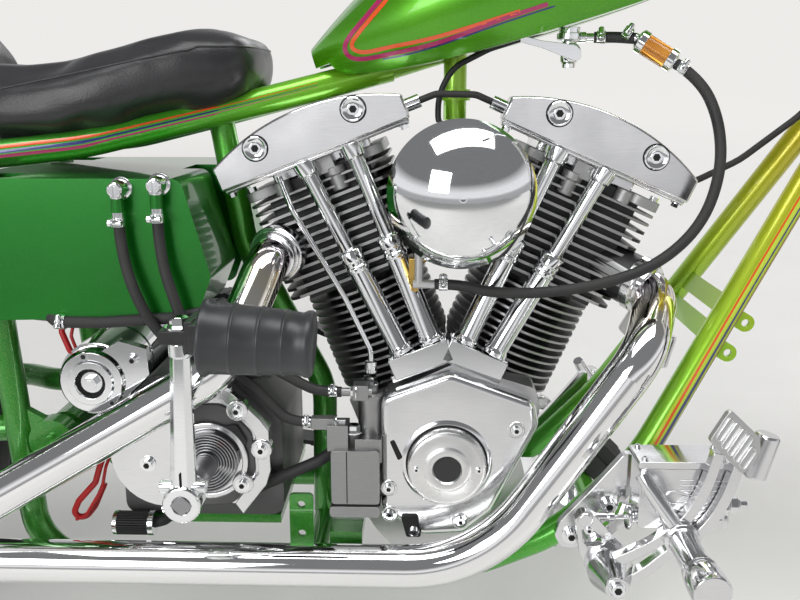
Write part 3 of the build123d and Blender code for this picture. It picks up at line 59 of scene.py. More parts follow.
# Camera
# A level view of the open engine from the machine's right, from about the height of its seat.
dip, swing = radians(13), radians(1.65)
sight = Matrix((
    (cos(swing), -sin(swing) * sin(dip), sin(swing) * cos(dip), -21.26),
    (sin(swing), cos(swing) * sin(dip), -cos(swing) * cos(dip), -1020.0),
    (0, cos(dip), sin(dip), 688.84),
    (0, 0, 0, 1),
))
camera = bpy.data.objects.new("camera", bpy.data.cameras.new("camera"))
camera.data.lens = 40.5
camera.data.sensor_width = 36.0
bpy.context.scene.collection.objects.link(camera)
place = straight_ahead @ sight
camera.matrix_world = Matrix.Translation(place.to_translation()) @ place.to_quaternion().to_matrix().to_4x4()
bpy.context.scene.camera = camera


# Frame
# Bent steel tube, brazed at its joints and painted in candy colour over metal flake: emerald at the
# rear, lime by the tank, olive gold at the neck. Narrow stripes are sprayed along two of its tubes.
def feed(tree, socket, value):
    """Sets a node's socket, or links it where the value is another node's socket."""
    if isinstance(value, bpy.types.NodeSocket):
        tree.links.new(value, socket)
    else:
        socket.default_value = value


def node_in(tree, kind, **values):
    """A node with its settings and its sockets by name, where an underscore stands for a space."""
    node = tree.nodes.new(kind)
    sockets = {}
    for key, value in values.items():
        if key in node.bl_rna.properties:
            setattr(node, key, value)
        else:
            sockets[key.replace("_", " ")] = value
    for label, value in sockets.items():
        feed(tree, node.inputs[label], value)
    return node


def sum_in(tree, operation, *values):
    """One step of arithmetic on plain values or sockets."""
    node = node_in(tree, "ShaderNodeMath", operation=operation)
    for socket, value in zip(node.inputs, values):
        feed(tree, socket, value)
    return node.outputs[0]


class Finish:
    """A material with one shader, whose values vary over the piece."""

    def __init__(self, name, **plain):
        self.material = bpy.data.materials.new(name)
        self.material.use_nodes = True
        self.tree = self.material.node_tree
        self.shader = self.tree.nodes["Principled BSDF"]
        for socket, value in plain.items():
            self.shader.inputs[socket.replace("_", " ")].default_value = value

    def add(self, kind, **values):
        """A shader node with its settings."""
        return node_in(self.tree, "ShaderNode" + kind, **values)

    def where(self):
        """Places on the piece, as its Object coordinates."""
        return self.add("TexCoord").outputs["Object"]

    def texture(self, kind, **values):
        """A pattern laid on the piece by its Object coordinates."""
        return self.add("Tex" + kind, Vector=self.where(), **values)

    def effect(self, group, **values):
        """A shared effect placed in this material with its own values."""
        return self.add("Group", node_tree=group, **values).outputs

    def sum_of(self, operation, *values):
        """One step of arithmetic in this material."""
        return sum_in(self.tree, operation, *values)

    def join(self, source, target):
        """A link from an output to an input, or to a named socket of the shader."""
        self.tree.links.new(source, self.shader.inputs[target] if isinstance(target, str) else target)

    def ramp(self, source, *stops):
        """Colours along a value: each stop is a place and a colour, or a plain grey."""
        node = self.add("ValToRGB", Fac=source)
        for i, (spot, colour) in enumerate(stops):
            element = node.color_ramp.elements[i] if i < 2 else node.color_ramp.elements.new(spot)
            element.position = spot
            element.color = (*colour, 1) if isinstance(colour, tuple) else (colour, colour, colour, 1)
        return node.outputs["Color"]

    def shade(self, socket, source, *stops):
        """Feeds a named socket of the shader from a ramp along a value."""
        self.join(self.ramp(source, *stops), socket)

    def mix(self, factor, first, second):
        """Two colours mixed by a socket: each is a socket or a plain colour."""
        node = self.add("Mix", data_type="RGBA")
        self.join(factor, node.inputs[0])
        for colour, socket in ((first, node.inputs[6]), (second, node.inputs[7])):
            feed(self.tree, socket, (*colour, 1) if isinstance(colour, tuple) else colour)
        return node.outputs[2]

    def bump(self, height, strength, distance):
        """Relief from a height, fed to the shader's normal."""
        node = self.add("Bump", Strength=strength, Distance=distance, Height=height)
        self.join(node.outputs["Normal"], "Normal")


def shared_effect(name, inputs, outputs):
    """An empty shader node group with named values: the group, and what enters and leaves it."""
    group = bpy.data.node_groups.new(name, "ShaderNodeTree")
    for label, value in inputs.items():
        socket = group.interface.new_socket(label, in_out="INPUT", socket_type="NodeSocketFloat")
        socket.default_value = value
    for label in outputs:
        group.interface.new_socket(label, in_out="OUTPUT", socket_type="NodeSocketFloat")
    return group, group.nodes.new("NodeGroupInput").outputs, group.nodes.new("NodeGroupOutput").inputs


def metal_flake():
    """Tiny bright platelets lying at random under the clear coat."""
    group, enter, leave = shared_effect("metal_flake", {"Scale": 900.0, "Depth": 0.5}, ("Glint", "Cloud"))
    where = node_in(group, "ShaderNodeTexCoord").outputs["Object"]
    cells = node_in(group, "ShaderNodeTexVoronoi", Vector=where, Scale=enter["Scale"])
    lift = sum_in(group, "POWER", cells.outputs["Color"], 3.0)
    feed(group, leave["Glint"], sum_in(group, "MULTIPLY", lift, enter["Depth"]))
    cloud = node_in(group, "ShaderNodeTexNoise", Vector=where, Scale=9.0, Detail=3.0)
    feed(group, leave["Cloud"], cloud.outputs["Fac"])
    return group


flake = metal_flake()


def candy(name, dark, light):
    """Candy colour over flake under a clear coat: dark and light are its shade and its glow."""
    finish = Finish(name, Metallic=0.55, Roughness=0.30, Coat_Weight=0.6, Coat_Roughness=0.03)
    speck = finish.effect(flake, Scale=2200.0, Depth=0.5)
    body = finish.mix(speck["Cloud"], dark, light)
    glint = tuple(min(1, c * 1.6 + 0.008) for c in light)
    finish.join(finish.mix(speck["Glint"], body, glint), "Base Color")
    return finish.material


def frame_candy():
    """The frame's own candy, which fades from emerald at the rear to olive gold at the neck."""
    finish = Finish("frame_candy", Metallic=0.45, Roughness=0.28, Coat_Weight=0.7, Coat_Roughness=0.03)
    split = finish.add("SeparateXYZ", Vector=finish.where()).outputs
    forward_and_up = finish.sum_of("ADD", split["X"], split["Z"])
    fade = finish.ramp(
        forward_and_up, (0.10, (0.003, 0.24, 0.022)), (0.32, (0.03, 0.44, 0.012)),
        (0.62, (0.25, 0.62, 0.012)), (0.86, (0.50, 0.55, 0.010)), (0.98, (0.55, 0.46, 0.008)))
    speck = finish.effect(flake, Scale=2200.0, Depth=0.35)
    finish.join(finish.mix(speck["Glint"], fade, (0.75, 0.85, 0.22)), "Base Color")
    return finish.material


def dress(node, *materials):
    """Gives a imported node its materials."""
    mesh = frame["nodes"][node].data
    mesh.materials.clear()
    for material in materials:
        mesh.materials.append(material)


frame_paint = frame_candy()
for node in ("frame_backbone", "frame_seat_post", "frame_cradle_right", "frame_cradle_left",
             "frame_cross_members", "swing_arm"):
    dress(node, frame_paint)


def rounded(points, radii, step=0.12):
    """Points along straight runs joined by arcs, one radius for each corner."""
    points = [Vector(point) for point in points]
    path = [points[0]]
    for before, corner, after, radius in zip(points, points[1:], points[2:], radii):
        back, on = (before - corner).normalized(), (after - corner).normalized()
        half = back.angle(on) / 2
        if pi / 2 - half < 0.01:
            path.append(corner)
            continue
        reach = radius / tan(half)
        middle = corner + (back + on).normalized() * (radius / sin(half))
        start = corner + back * reach - middle
        end = corner + on * reach - middle
        sweep = start.angle(end)
        count = max(2, int(sweep / step) + 1)
        for i in range(count + 1):
            share = i / count
            spot = (start * sin((1 - share) * sweep) + end * sin(share * sweep)) / sin(sweep)
            path.append(middle + spot)
    path.append(points[-1])
    return path


def frames_along(path, level=(0, 0, 1)):
    """At each point of a path: the point, its direction, and two directions across it."""
    across = None
    rows = []
    for i, point in enumerate(path):
        ahead = (path[min(i + 1, len(path) - 1)] - path[max(i - 1, 0)]).normalized()
        if across is None:
            across = Vector(level) - ahead * ahead.dot(Vector(level))
        else:
            across = across - ahead * ahead.dot(across)
        across.normalize()
        rows.append((point, ahead, across.copy(), ahead.cross(across)))
    return rows


def ribbon(shape, path, radius, angles, proud=0.25, slot=0):
    """A sprayed stripe on a tube: a strip of its skin between two angles, which may change on the way."""
    rows, strip, cells = frames_along(path), [], 4
    for i, (point, _, up, side) in enumerate(rows):
        low, high = angles(i / (len(rows) - 1))
        row = []
        for k in range(cells + 1):
            angle = low + (high - low) * k / cells
            row.append(shape.verts.new(point + (up * cos(angle) + side * sin(angle)) * (radius + proud)))
        strip.append(row)
    for first, second in zip(strip, strip[1:]):
        for k in range(cells):
            corners = (first[k], first[k + 1], second[k + 1], second[k])
            face = shape.faces.new(corners if angles(0)[0] < angles(0)[1] else corners[::-1])
            face.material_index = slot


def hang(name, mesh, body, nodes, lay, smooth, bevel=0):
    """Lays a finished mesh over into its stance and hangs it on its body."""
    mesh.transform(lay or straight_ahead)
    mesh.shade_smooth()
    mesh.set_sharp_from_angle(angle=radians(smooth))
    piece = bpy.data.objects.new(name, mesh)
    bpy.context.scene.collection.objects.link(piece)
    if bevel:
        edge = piece.modifiers.new("edge", "BEVEL")
        edge.width = bevel / 1000
        edge.segments = 2
        edge.limit_method = "ANGLE"
        edge.angle_limit = radians(smooth)
    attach(piece, body)
    if nodes:
        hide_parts(*nodes)
    return piece


def settle(name, shape, body, materials, *nodes, lay=None, smooth=30, bevel=0, slot):
    """Turns a drawn shape into a piece with its materials, in place of the nodes that it stands for."""
    mesh = bpy.data.meshes.new(name)
    shape.to_mesh(mesh)
    shape.free()
    for material in materials:
        mesh.materials.append(material)
    return hang(name, mesh, body, nodes, lay, smooth, bevel)


def stripe_paint(name, colour):
    """One of the narrow stripe colours, under a clear coat."""
    finish = Finish(name, Metallic=0.1, Roughness=0.3, Coat_Weight=1.0, Coat_Roughness=0.03)
    speck = finish.effect(flake, Scale=1800.0, Depth=0.35)
    glint = tuple(min(1, c * 1.4 + 0.05) for c in colour)
    finish.join(finish.mix(speck["Glint"], colour, glint), "Base Color")
    return finish.material


orange = stripe_paint("stripe_orange", (0.85, 0.09, 0.008))
blue = stripe_paint("stripe_blue", (0.012, 0.014, 0.17))
magenta = stripe_paint("stripe_magenta", (0.42, 0.008, 0.11))
pale_lime = stripe_paint("stripe_gap", (0.55, 0.72, 0.03))

tube_radius = 14.3
seat_rail = [(-62, 3, 714), (-243, 52, 668), (-372, 92, 637), (-490, 112, 624), (-800, 112, 650)]
rail_start = Vector((-140, 24.1, 694.2))
for side, flank in ((-1, "right"), (1, "left")):
    points = [Vector((x, side * y, z)) for x, y, z in seat_rail]
    points[0] = Vector((rail_start.x, side * rail_start.y, rail_start.z))
    path = [point for point in rounded(points, [200, 200, 200], 0.03) if point.x > -486]
    finer = []
    for first, second in zip(path, path[1:]):
        finer.extend(first.lerp(second, k / 4) for k in range(4))
    finer.append(path[-1])
    # angles are from the top of the tube, outward and down
    rail_stripes = bmesh.new()
    for slot, low, high in ((0, 52, 67), (1, 74, 87), (2, 92, 105)):
        def narrow(share, low=low, high=high, side=side):
            fade = min(1, share / 0.5)
            middle = 80 + (0.5 * (low + high) - 80) * (0.45 + 0.55 * fade)
            half = 0.5 * (high - low) * (0.10 + 0.90 * fade)
            return (side * radians(middle - half), side * radians(middle + half))
        ribbon(rail_stripes, finer, tube_radius, narrow, slot=slot)
    settle(f"seat_rail_stripes_{flank}", rail_stripes, "frame", [orange, blue, magenta], smooth=35,
           slot="frame_paint")

# The stripes of the front downtubes fan out at their lower end.
for side, flank in ((-1, "right"), (1, "left")):
    run = []
    for k in range(61):
        over = 372 - 8.6 * k
        run.append(Vector((280 + 0.6 * over, side * (90 - 0.23 * over), 431 + over)))
    tube_stripes = bmesh.new()
    for slot, start, end in ((3, (57, 121), (57, 121)), (0, (60, 68), (76, 88)), (1, (87, 94), (96, 122)),
                             (2, (111, 118), (130, 140))):
        def fan(share, start=start, end=end, side=side):
            late = max(0.0, share - 0.55) / 0.45
            return tuple(side * radians(a + (b - a) * late ** 1.5) for a, b in zip(start, end))
        ribbon(tube_stripes, run, tube_radius, fan, slot=slot, proud=0.15 if slot == 3 else 0.3)
    settle(f"downtube_stripes_{flank}", tube_stripes, "frame", [orange, blue, magenta, pale_lime],
           smooth=35, slot="frame_paint")


# Engine castings
# Sand-cast aluminium cases with polished covers over iron barrels in black enamel. The fins are
# machined bright at their edges, and the cases are held with plated screws.
def handling_marks():
    """Faint smears and hairline scratches that vary the gloss of bare metal."""
    group, enter, leave = shared_effect("handling_marks", {"Scale": 14.0, "Stretch": 40.0},
                                        ("Smear", "Scratch"))
    where = node_in(group, "ShaderNodeTexCoord").outputs["Object"]
    smear = node_in(group, "ShaderNodeTexNoise", Vector=where, Scale=enter["Scale"], Detail=4.0)
    feed(group, leave["Smear"], smear.outputs["Fac"])
    drawn = node_in(group, "ShaderNodeVectorMath", operation="MULTIPLY", Vector=where)
    drawn.inputs[1].default_value = (1.0, 9.0, 30.0)
    scratch = node_in(group, "ShaderNodeTexNoise", Vector=drawn.outputs[0], Scale=enter["Stretch"],
                      Detail=2.0)
    feed(group, leave["Scratch"], scratch.outputs["Fac"])
    return group


marks = handling_marks()


def bare_metal(name, colour, shine, dull, scale=14.0, grain=0.0, grain_size=900.0, metallic=1.0):
    """Plated, polished or cast metal: its gloss wanders from shine to dull, and a cast skin has a grain."""
    finish = Finish(name, Base_Color=(*colour, 1), Metallic=metallic, Roughness=shine)
    worn = finish.effect(marks, Scale=scale, Stretch=60.0)
    finish.shade("Roughness", worn["Smear"], (0.35, shine), (0.75, dull))
    finish.shade("Base Color", worn["Scratch"], (0.3, tuple(c * 0.93 for c in colour)), (0.7, colour))
    if grain:
        skin = finish.texture("Noise", Scale=grain_size, Detail=3.0)
        finish.bump(skin.outputs["Fac"], grain, 0.0004)
    return finish.material


def dull_coat(name, colour, rough, grain=0.15, grain_size=700.0, spread=1.5):
    """Rubber, plastic or enamel, or a painted shade: one colour, a little uneven, with a fine skin."""
    finish = Finish(name, Base_Color=(*colour, 1), Roughness=rough)
    cloud = finish.texture("Noise", Scale=22.0, Detail=3.0).outputs["Fac"]
    light = tuple(min(1, c * spread) for c in colour)
    finish.shade("Base Color", cloud, (0.3, colour), (0.7, light))
    finish.shade("Roughness", cloud, (0.3, rough * 0.8), (0.7, min(1, rough * 1.15)))
    skin = finish.texture("Noise", Scale=grain_size, Detail=3.0)
    finish.bump(skin.outputs["Fac"], grain, 0.0003)
    return finish.material


chrome = bare_metal("chrome", (0.90, 0.91, 0.92), 0.035, 0.10)
satin_bright = bare_metal("spun_aluminium", (0.80, 0.80, 0.79), 0.26, 0.36, scale=20.0)
polished = bare_metal("polished_aluminium", (0.80, 0.80, 0.81), 0.10, 0.26, scale=20.0)
satin = bare_metal("satin_aluminium", (0.60, 0.60, 0.60), 0.30, 0.46, grain=0.25, grain_size=1100.0)
steel = bare_metal("oiled_steel", (0.36, 0.36, 0.37), 0.28, 0.50)
bright_edge = bare_metal("machined_fin_edge", (0.46, 0.46, 0.46), 0.34, 0.5)
brass = bare_metal("brass", (0.66, 0.44, 0.12), 0.22, 0.38)
enamel = dull_coat("black_enamel", (0.016, 0.016, 0.017), 0.42, spread=1.8)
black_rubber = dull_coat("black_rubber", (0.020, 0.020, 0.021), 0.55)
black_plastic = dull_coat("black_plastic", (0.018, 0.018, 0.019), 0.48)
# painted shade: a near-black laid in grooves, slots, sockets and seams in place of the shade in those hollows
shadow = dull_coat("painted_recess_shade", (0.006, 0.006, 0.006), 0.8)


forward, to_left, to_right, upward = (1, 0, 0), (0, 1, 0), (0, -1, 0), (0, 0, 1)


def across(way):
    """Two directions square to a direction."""
    way = Vector(way).normalized()
    side = way.cross(Vector((0, 0, 1)) if abs(way.z) < 0.9 else Vector((1, 0, 0))).normalized()
    return side, way.cross(side)


def turned(shape, start, way, rows, around=28, slot=0, hollow=False):
    """A form turned on a lathe about a line: each row is a distance along it and a radius."""
    start, way = Vector(start), Vector(way).normalized()
    side, other = across(way)
    rings = []
    for along, radius in rows:
        if radius == 0:
            rings.append([shape.verts.new(start + way * along)])
            continue
        ring = []
        for k in range(around):
            angle = 2 * pi * k / around
            out = side * cos(angle) + other * sin(angle)
            ring.append(shape.verts.new(start + way * along + out * radius))
        rings.append(ring)
    for first, second in zip(rings, rings[1:]):
        for k in range(around):
            j = (k + 1) % around
            if len(first) == 1:
                corners = (first[0], second[j], second[k])
            elif len(second) == 1:
                corners = (first[k], first[j], second[0])
            else:
                corners = (first[k], first[j], second[j], second[k])
            shape.faces.new(corners).material_index = slot
    for ring in (rings[0][::-1], rings[-1]):
        if len(ring) > 1 and not hollow:
            shape.faces.new(ring).material_index = slot


def slab(shape, outline, right, left, slot=0, lay=None):
    """A plate whose outline is drawn in x and z, between two values of y."""
    near = [shape.verts.new((x, right, z)) for x, z in outline]
    far = [shape.verts.new((x, left, z)) for x, z in outline]
    turn = sum(x1 * z2 - x2 * z1 for (x1, z1), (x2, z2) in zip(outline, outline[1:] + outline[:1]))
    made = [shape.faces.new(near if turn > 0 else near[::-1]),
            shape.faces.new(far[::-1] if turn > 0 else far)]
    for k in range(len(outline)):
        j = (k + 1) % len(outline)
        corners = (near[k], far[k], far[j], near[j])
        made.append(shape.faces.new(corners if turn > 0 else corners[::-1]))
    for face in made:
        face.material_index = slot
    if lay:
        bmesh.ops.transform(shape, matrix=lay, verts=near + far)


def brick(shape, centre, size, lay=None, slot=0):
    """A plain block."""
    place = (lay or Matrix()) @ Matrix.Translation(centre) @ Matrix.Diagonal((*size, 1))
    made = bmesh.ops.create_cube(shape, size=1, matrix=place)
    for face in {face for vert in made["verts"] for face in vert.link_faces}:
        face.material_index = slot


def round_corners(outline, radius, steps=5):
    """An outline in x and z with its corners rounded."""
    count, path = len(outline), []
    for i in range(count):
        corner = Vector(outline[i])
        back = Vector(outline[i - 1]) - corner
        on = Vector(outline[(i + 1) % count]) - corner
        half = back.angle(on) / 2
        reach = min(radius / tan(half), 0.45 * back.length, 0.45 * on.length)
        start, end = corner + back.normalized() * reach, corner + on.normalized() * reach
        for k in range(steps + 1):
            share = k / steps
            path.append(tuple((start * (1 - share) + corner * share) * (1 - share)
                              + (corner * (1 - share) + end * share) * share))
    return path


def pipe(shape, path, radius, around=14, slot=0):
    """A round bar or tube along a path: radius is one value, or one for each point."""
    rings = []
    for i, (point, _, up, side) in enumerate(frames_along(path, across(path[1] - path[0])[0])):
        size = radius[i] if isinstance(radius, (list, tuple)) else radius
        ring = []
        for k in range(around):
            angle = 2 * pi * k / around
            ring.append(shape.verts.new(point + (up * cos(angle) + side * sin(angle)) * size))
        rings.append(ring)
    for first, second in zip(rings, rings[1:]):
        for k in range(around):
            j = (k + 1) % around
            shape.faces.new((first[k], first[j], second[j], second[k])).material_index = slot
    shape.faces.new(rings[0][::-1]).material_index = slot
    shape.faces.new(rings[-1]).material_index = slot


class Growth:
    """A Geometry Nodes tree with named inputs, grown once into a plain mesh."""

    def __init__(self, name, **inputs):
        self.name = name
        self.tree = bpy.data.node_groups.new(name, "GeometryNodeTree")
        face = self.tree.interface
        face.new_socket("Geometry", in_out="INPUT", socket_type="NodeSocketGeometry")
        face.new_socket("Geometry", in_out="OUTPUT", socket_type="NodeSocketGeometry")
        self.kept = {}
        for label, value in inputs.items():
            kind = "NodeSocketMaterial" if isinstance(value, bpy.types.Material) else "NodeSocketFloat"
            socket = face.new_socket(label, in_out="INPUT", socket_type=kind)
            self.kept[label] = (socket.identifier, value)
        self.enter = self.tree.nodes.new("NodeGroupInput")
        self.leave = self.tree.nodes.new("NodeGroupOutput")

    def add(self, kind, **values):
        """A node of the tree with its settings."""
        return node_in(self.tree, kind, **values)

    def size(self, label):
        """A named input of the tree."""
        return self.enter.outputs[label]

    def sum_of(self, operation, *values):
        """One step of arithmetic in this tree."""
        return sum_in(self.tree, operation, *values)

    def block(self, length, width, height):
        """A block whose three sizes are named inputs."""
        size = self.add("ShaderNodeCombineXYZ", X=self.size(length), Y=self.size(width), Z=self.size(height))
        return self.add("GeometryNodeMeshCube", Size=size.outputs[0]).outputs["Mesh"]

    def moved(self, form, turn=(0, 0, 0), **shift):
        """A form turned, or moved along its axes."""
        place = self.add("ShaderNodeCombineXYZ", **shift).outputs[0]
        return self.add("GeometryNodeTransform", Geometry=form, Translation=place, Rotation=turn).outputs[0]

    def joined(self, forms):
        """Several forms as one."""
        join = self.add("GeometryNodeJoinGeometry")
        for form in forms:
            self.tree.links.new(form, join.inputs[0])
        return join.outputs[0]

    def at_seeds(self, form, axis, pivot="AUTO"):
        """Stands a form at each seed, in the seed's size and with one axis along its direction."""
        way = self.add("GeometryNodeInputNamedAttribute", data_type="FLOAT_VECTOR", Name="way")
        size = self.add("GeometryNodeInputNamedAttribute", data_type="FLOAT", Name="size")
        face = self.add("FunctionNodeAlignRotationToVector", axis=axis, pivot_axis=pivot,
                        Vector=way.outputs[0])
        spread = self.add("GeometryNodeInstanceOnPoints", Points=self.enter.outputs["Geometry"],
                          Instance=form, Rotation=face.outputs[0], Scale=size.outputs[0])
        return spread.outputs[0]

    def wire(self, path, section):
        """A section drawn along a path."""
        return self.add("GeometryNodeCurveToMesh", Curve=path.outputs[0], Profile_Curve=section.outputs[0],
                        Fill_Caps=True).outputs[0]

    def end(self, *branches):
        """Closes the tree on its branches, each a form and the label of its material."""
        painted = []
        for form, label in branches:
            real = self.add("GeometryNodeRealizeInstances", Geometry=form)
            paint = self.add("GeometryNodeSetMaterial", Geometry=real.outputs[0], Material=self.size(label))
            painted.append(paint.outputs[0])
        self.tree.links.new(self.joined(painted), self.leave.inputs[0])

    def grow(self, spots, body="frame", lay=None, slot="chrome", nodes=(), **sizes):
        """Grows the tree on seeds and hangs the plain mesh: each spot is a place, a direction and a size."""
        holder = bpy.data.objects.new(self.name, seeds(spots))
        bpy.context.scene.collection.objects.link(holder)
        modifier = holder.modifiers.new(self.name, "NODES")
        modifier.node_group = self.tree
        for label, (identifier, value) in self.kept.items():
            modifier[identifier] = sizes.get(label, value)
        mesh = bpy.data.meshes.new_from_object(holder.evaluated_get(bpy.context.evaluated_depsgraph_get()))
        holder.modifiers.remove(modifier)
        bpy.data.objects.remove(holder)
        mesh.name = self.name
        return hang(self.name, mesh, body, nodes, lay, 40)


def seeds(spots):
    """A mesh of seed points, each with a place, a direction and a size."""
    mesh = bpy.data.meshes.new("seeds")
    mesh.from_pydata([tuple(place) for place, _, _ in spots], [], [])
    mesh.attributes.new("way", "FLOAT_VECTOR", "POINT")
    mesh.attributes.new("size", "FLOAT", "POINT")
    way, size = mesh.attributes["way"], mesh.attributes["size"]
    for i, (_, direction, scale) in enumerate(spots):
        way.data[i].vector = Vector(direction).normalized()
        size.data[i].value = scale
    return mesh


def screw_tree(name, sides, metal, recess):
    """Screw heads: a round or six-sided head on a washer; its socket is a flat disc on the head, dark as
    painted shade where it has one.
    """
    tree = Growth(name, Radius=1.0, Height=0.9, Washer=1.5, Socket=0.6, Metal=metal, Recess=recess)
    height = tree.size("Height")
    washer = tree.add("GeometryNodeMeshCylinder", Vertices=18, Radius=tree.size("Washer"), Depth=0.22)
    head = tree.add("GeometryNodeMeshCylinder", Vertices=sides, Radius=tree.size("Radius"), Depth=height)
    socket = tree.add("GeometryNodeMeshCylinder", Vertices=6, Radius=tree.size("Socket"), Depth=0.04)
    branches = []
    for form, lift, label in ((washer, 0.11, "Metal"),
                              (head, tree.sum_of("MULTIPLY_ADD", height, 0.5, 0.22), "Metal"),
                              (socket, tree.sum_of("ADD", height, 0.225), "Recess")):
        branches.append((tree.at_seeds(tree.moved(form.outputs["Mesh"], Z=lift), "Z"), label))
    tree.end(*branches)
    return tree


# the sockets of the cap screws are flat discs of painted shade
cap_screws = screw_tree("cap_screws", 18, chrome, shadow)
hex_heads = screw_tree("hex_heads", 6, chrome, chrome)


def bore(lead):
    """Frame of a cylinder, z up its bore and x forward: lead is 1 for the front, -1 for the rear."""
    return Matrix.Translation((0, 0, 250)) @ Matrix.Rotation(radians(lead * 22.5 + 1.15), 4, "Y")


def paint_where(node, choose, *materials):
    """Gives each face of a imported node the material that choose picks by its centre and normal."""
    dress(node, *materials)
    mesh = frame["nodes"][node].data
    back = straight_ahead.inverted()
    for face in mesh.polygons:
        normal = (back.to_3x3() @ face.normal).normalized()
        face.material_index = choose(back @ face.center, normal)


for node, lead in (("front_cylinder", 1), ("rear_cylinder", -1)):
    inward = bore(lead).inverted()

    def fin_edge(spot, normal, inward=inward):
        """1 on the outer edges of the fins, else 0."""
        spot, normal = inward @ spot, inward.to_3x3() @ normal
        if abs(normal.z) > 0.4:
            return 0
        if spot.z < 257:
            return int(hypot(spot.x, spot.y) > 69.0)
        return int(abs(spot.x) > 78.5 or abs(spot.y) > 69.5)

    paint_where(node, fin_edge, enamel, bright_edge)

dress("crankcase", satin)
gearbox_metal = bare_metal("gearbox_casting", (0.15, 0.15, 0.15), 0.42, 0.60, grain=0.5, grain_size=700.0)
dress("transmission", gearbox_metal)

# Cylinder heads
# The top of each head under its rocker box: two more fins, a thick deck with cast pads at its
# ends, and the bosses of the head bolts.
head_metal = bare_metal("head_casting", (0.46, 0.46, 0.46), 0.36, 0.55, grain=0.5, grain_size=700.0,
                        metallic=0.7)
flat_way = Matrix.Rotation(pi / 2, 4, "X")
head_bolts = []
for name, lead in (("front_head_top", 1), ("rear_head_top", -1)):
    deck = bmesh.new()
    corners = round_corners([(-79, -70), (79, -70), (79, 70), (-79, 70)], 18)
    for low, high in ((360.0, 363.2), (369.4, 372.6)):
        slab(deck, corners, low, high, lay=flat_way)
    for face in deck.faces:
        face.normal_update()
        if abs(face.normal.z) < 0.4:
            face.material_index = 1
    for x in (-61, 61):
        slab(deck, round_corners([(x - 17, -70.5), (x + 17, -70.5), (x + 17, 70), (x - 17, 70)], 12), 376.5,
             387, 2, lay=flat_way)
    brick(deck, (-lead * 13.5, -65, 386), (21, 16, 17), slot=2)
    turned(deck, (-lead * 20.5, -63, 356), upward, [(0, 9), (16, 9), (17, 11.5), (25, 11.5)], slot=2)
    turned(deck, (lead * 38, -62, 372), upward, [(0, 9), (14, 9)], slot=2)
    for x in (-lead * 36, lead * 70):
        head_bolts.append((bore(lead) @ Vector((x, -60, 386)), bore(lead).to_3x3() @ Vector((0, 0, 1)), 5.0))
    bmesh.ops.transform(deck, matrix=bore(lead), verts=deck.verts)
    settle(name, deck, "frame", [enamel, bright_edge, head_metal], bevel=0.8, slot="black_iron")
hex_heads.grow(head_bolts)

dress("carburettor", satin)
dress("air_cleaner", chrome)
dress("regulator", black_plastic)

# Rocker boxes
# Polished cast boxes with a bowed top, each screwed down on its head, with two plugs over the ends
# of the rocker shafts.
rocker_foot, rocker_rise, rocker_end = 399.0, 50.0, 25.0
rocker_half, rocker_right, rocker_left = 104.5, -95.0, 70.0
left_share = 62 / rocker_half
plug_spots, rocker_screws = [], []
for node, lead in (("front_rocker_box", 1), ("rear_rocker_box", -1)):
    middle = -lead * 11.0
    ball = (rocker_half ** 2 + (rocker_rise - rocker_end) ** 2) / (2 * (rocker_rise - rocker_end))
    bow = []
    for k in range(25):
        x = rocker_half * (1 - k / 12)
        bow.append((middle + x, rocker_foot + rocker_rise - ball + sqrt(ball ** 2 - x ** 2)))
    outline = [(middle - rocker_half, rocker_foot), (middle + rocker_half, rocker_foot), *bow]
    box = bmesh.new()
    slab(box, outline, rocker_right, rocker_left)
    for vert in box.verts:
        # the left side is narrower, to clear the frame
        if vert.co.y > 0:
            vert.co.x = middle + (vert.co.x - middle) * left_share
    bmesh.ops.bisect_plane(box, geom=box.verts[:] + box.edges[:] + box.faces[:], plane_co=(0, -60, 0),
                           plane_no=to_left)
    for vert in box.verts:
        if abs(vert.co.y + 60) < 0.01:
            share = (vert.co.y - rocker_right) / (rocker_left - rocker_right)
            vert.co.x = middle + (vert.co.x - middle) / (1 - share * (1 - left_share))
    lip = [(middle - rocker_half + 2, rocker_foot - 4), (middle + rocker_half - 2, rocker_foot - 4),
           (middle + rocker_half - 2, rocker_foot + 1), (middle - rocker_half + 2, rocker_foot + 1)]
    slab(box, lip, rocker_right + 3, -60)
    brick(box, (middle, -10, 391), (112, 96, 13))
    plug_spots.extend(bore(lead) @ Vector((middle + x, rocker_right, rocker_foot + 29)) for x in (-54, 54))
    for x, y in ((-96, -86), (96, -86), (-50, 52), (50, 52)):
        downward = bore(lead).to_3x3() @ Vector((0, 0, -1))
        rocker_screws.append((bore(lead) @ Vector((middle + x, y, rocker_foot - 4)), downward, 4.2))
    bmesh.ops.transform(box, matrix=bore(lead), verts=box.verts)
    settle(node, box, "frame", [polished], node, bevel=2.2, slot="polished_aluminium")
# Each plug sits in a thin ring of painted shade, and its hex socket is a dark disc of painted shade.
plugs = bmesh.new()
for spot in plug_spots:
    turned(plugs, spot, to_right, [(0.1, 13.8), (0.35, 12.6)], around=36, slot=1)
    turned(plugs, spot, to_right,
           [(0, 12.6), (2.0, 12.4), (2.5, 11.6), (2.5, 10.9), (1.2, 8.8), (0.9, 6.4), (2.1, 5.6), (2.1, 0)],
           around=36)
    turned(plugs, spot, to_right, [(2.1, 4.1), (2.25, 0)], around=6, slot=1)
settle("rocker_shaft_plugs", plugs, "frame", [chrome, shadow], smooth=25, slot="chrome")
hex_heads.grow(rocker_screws)

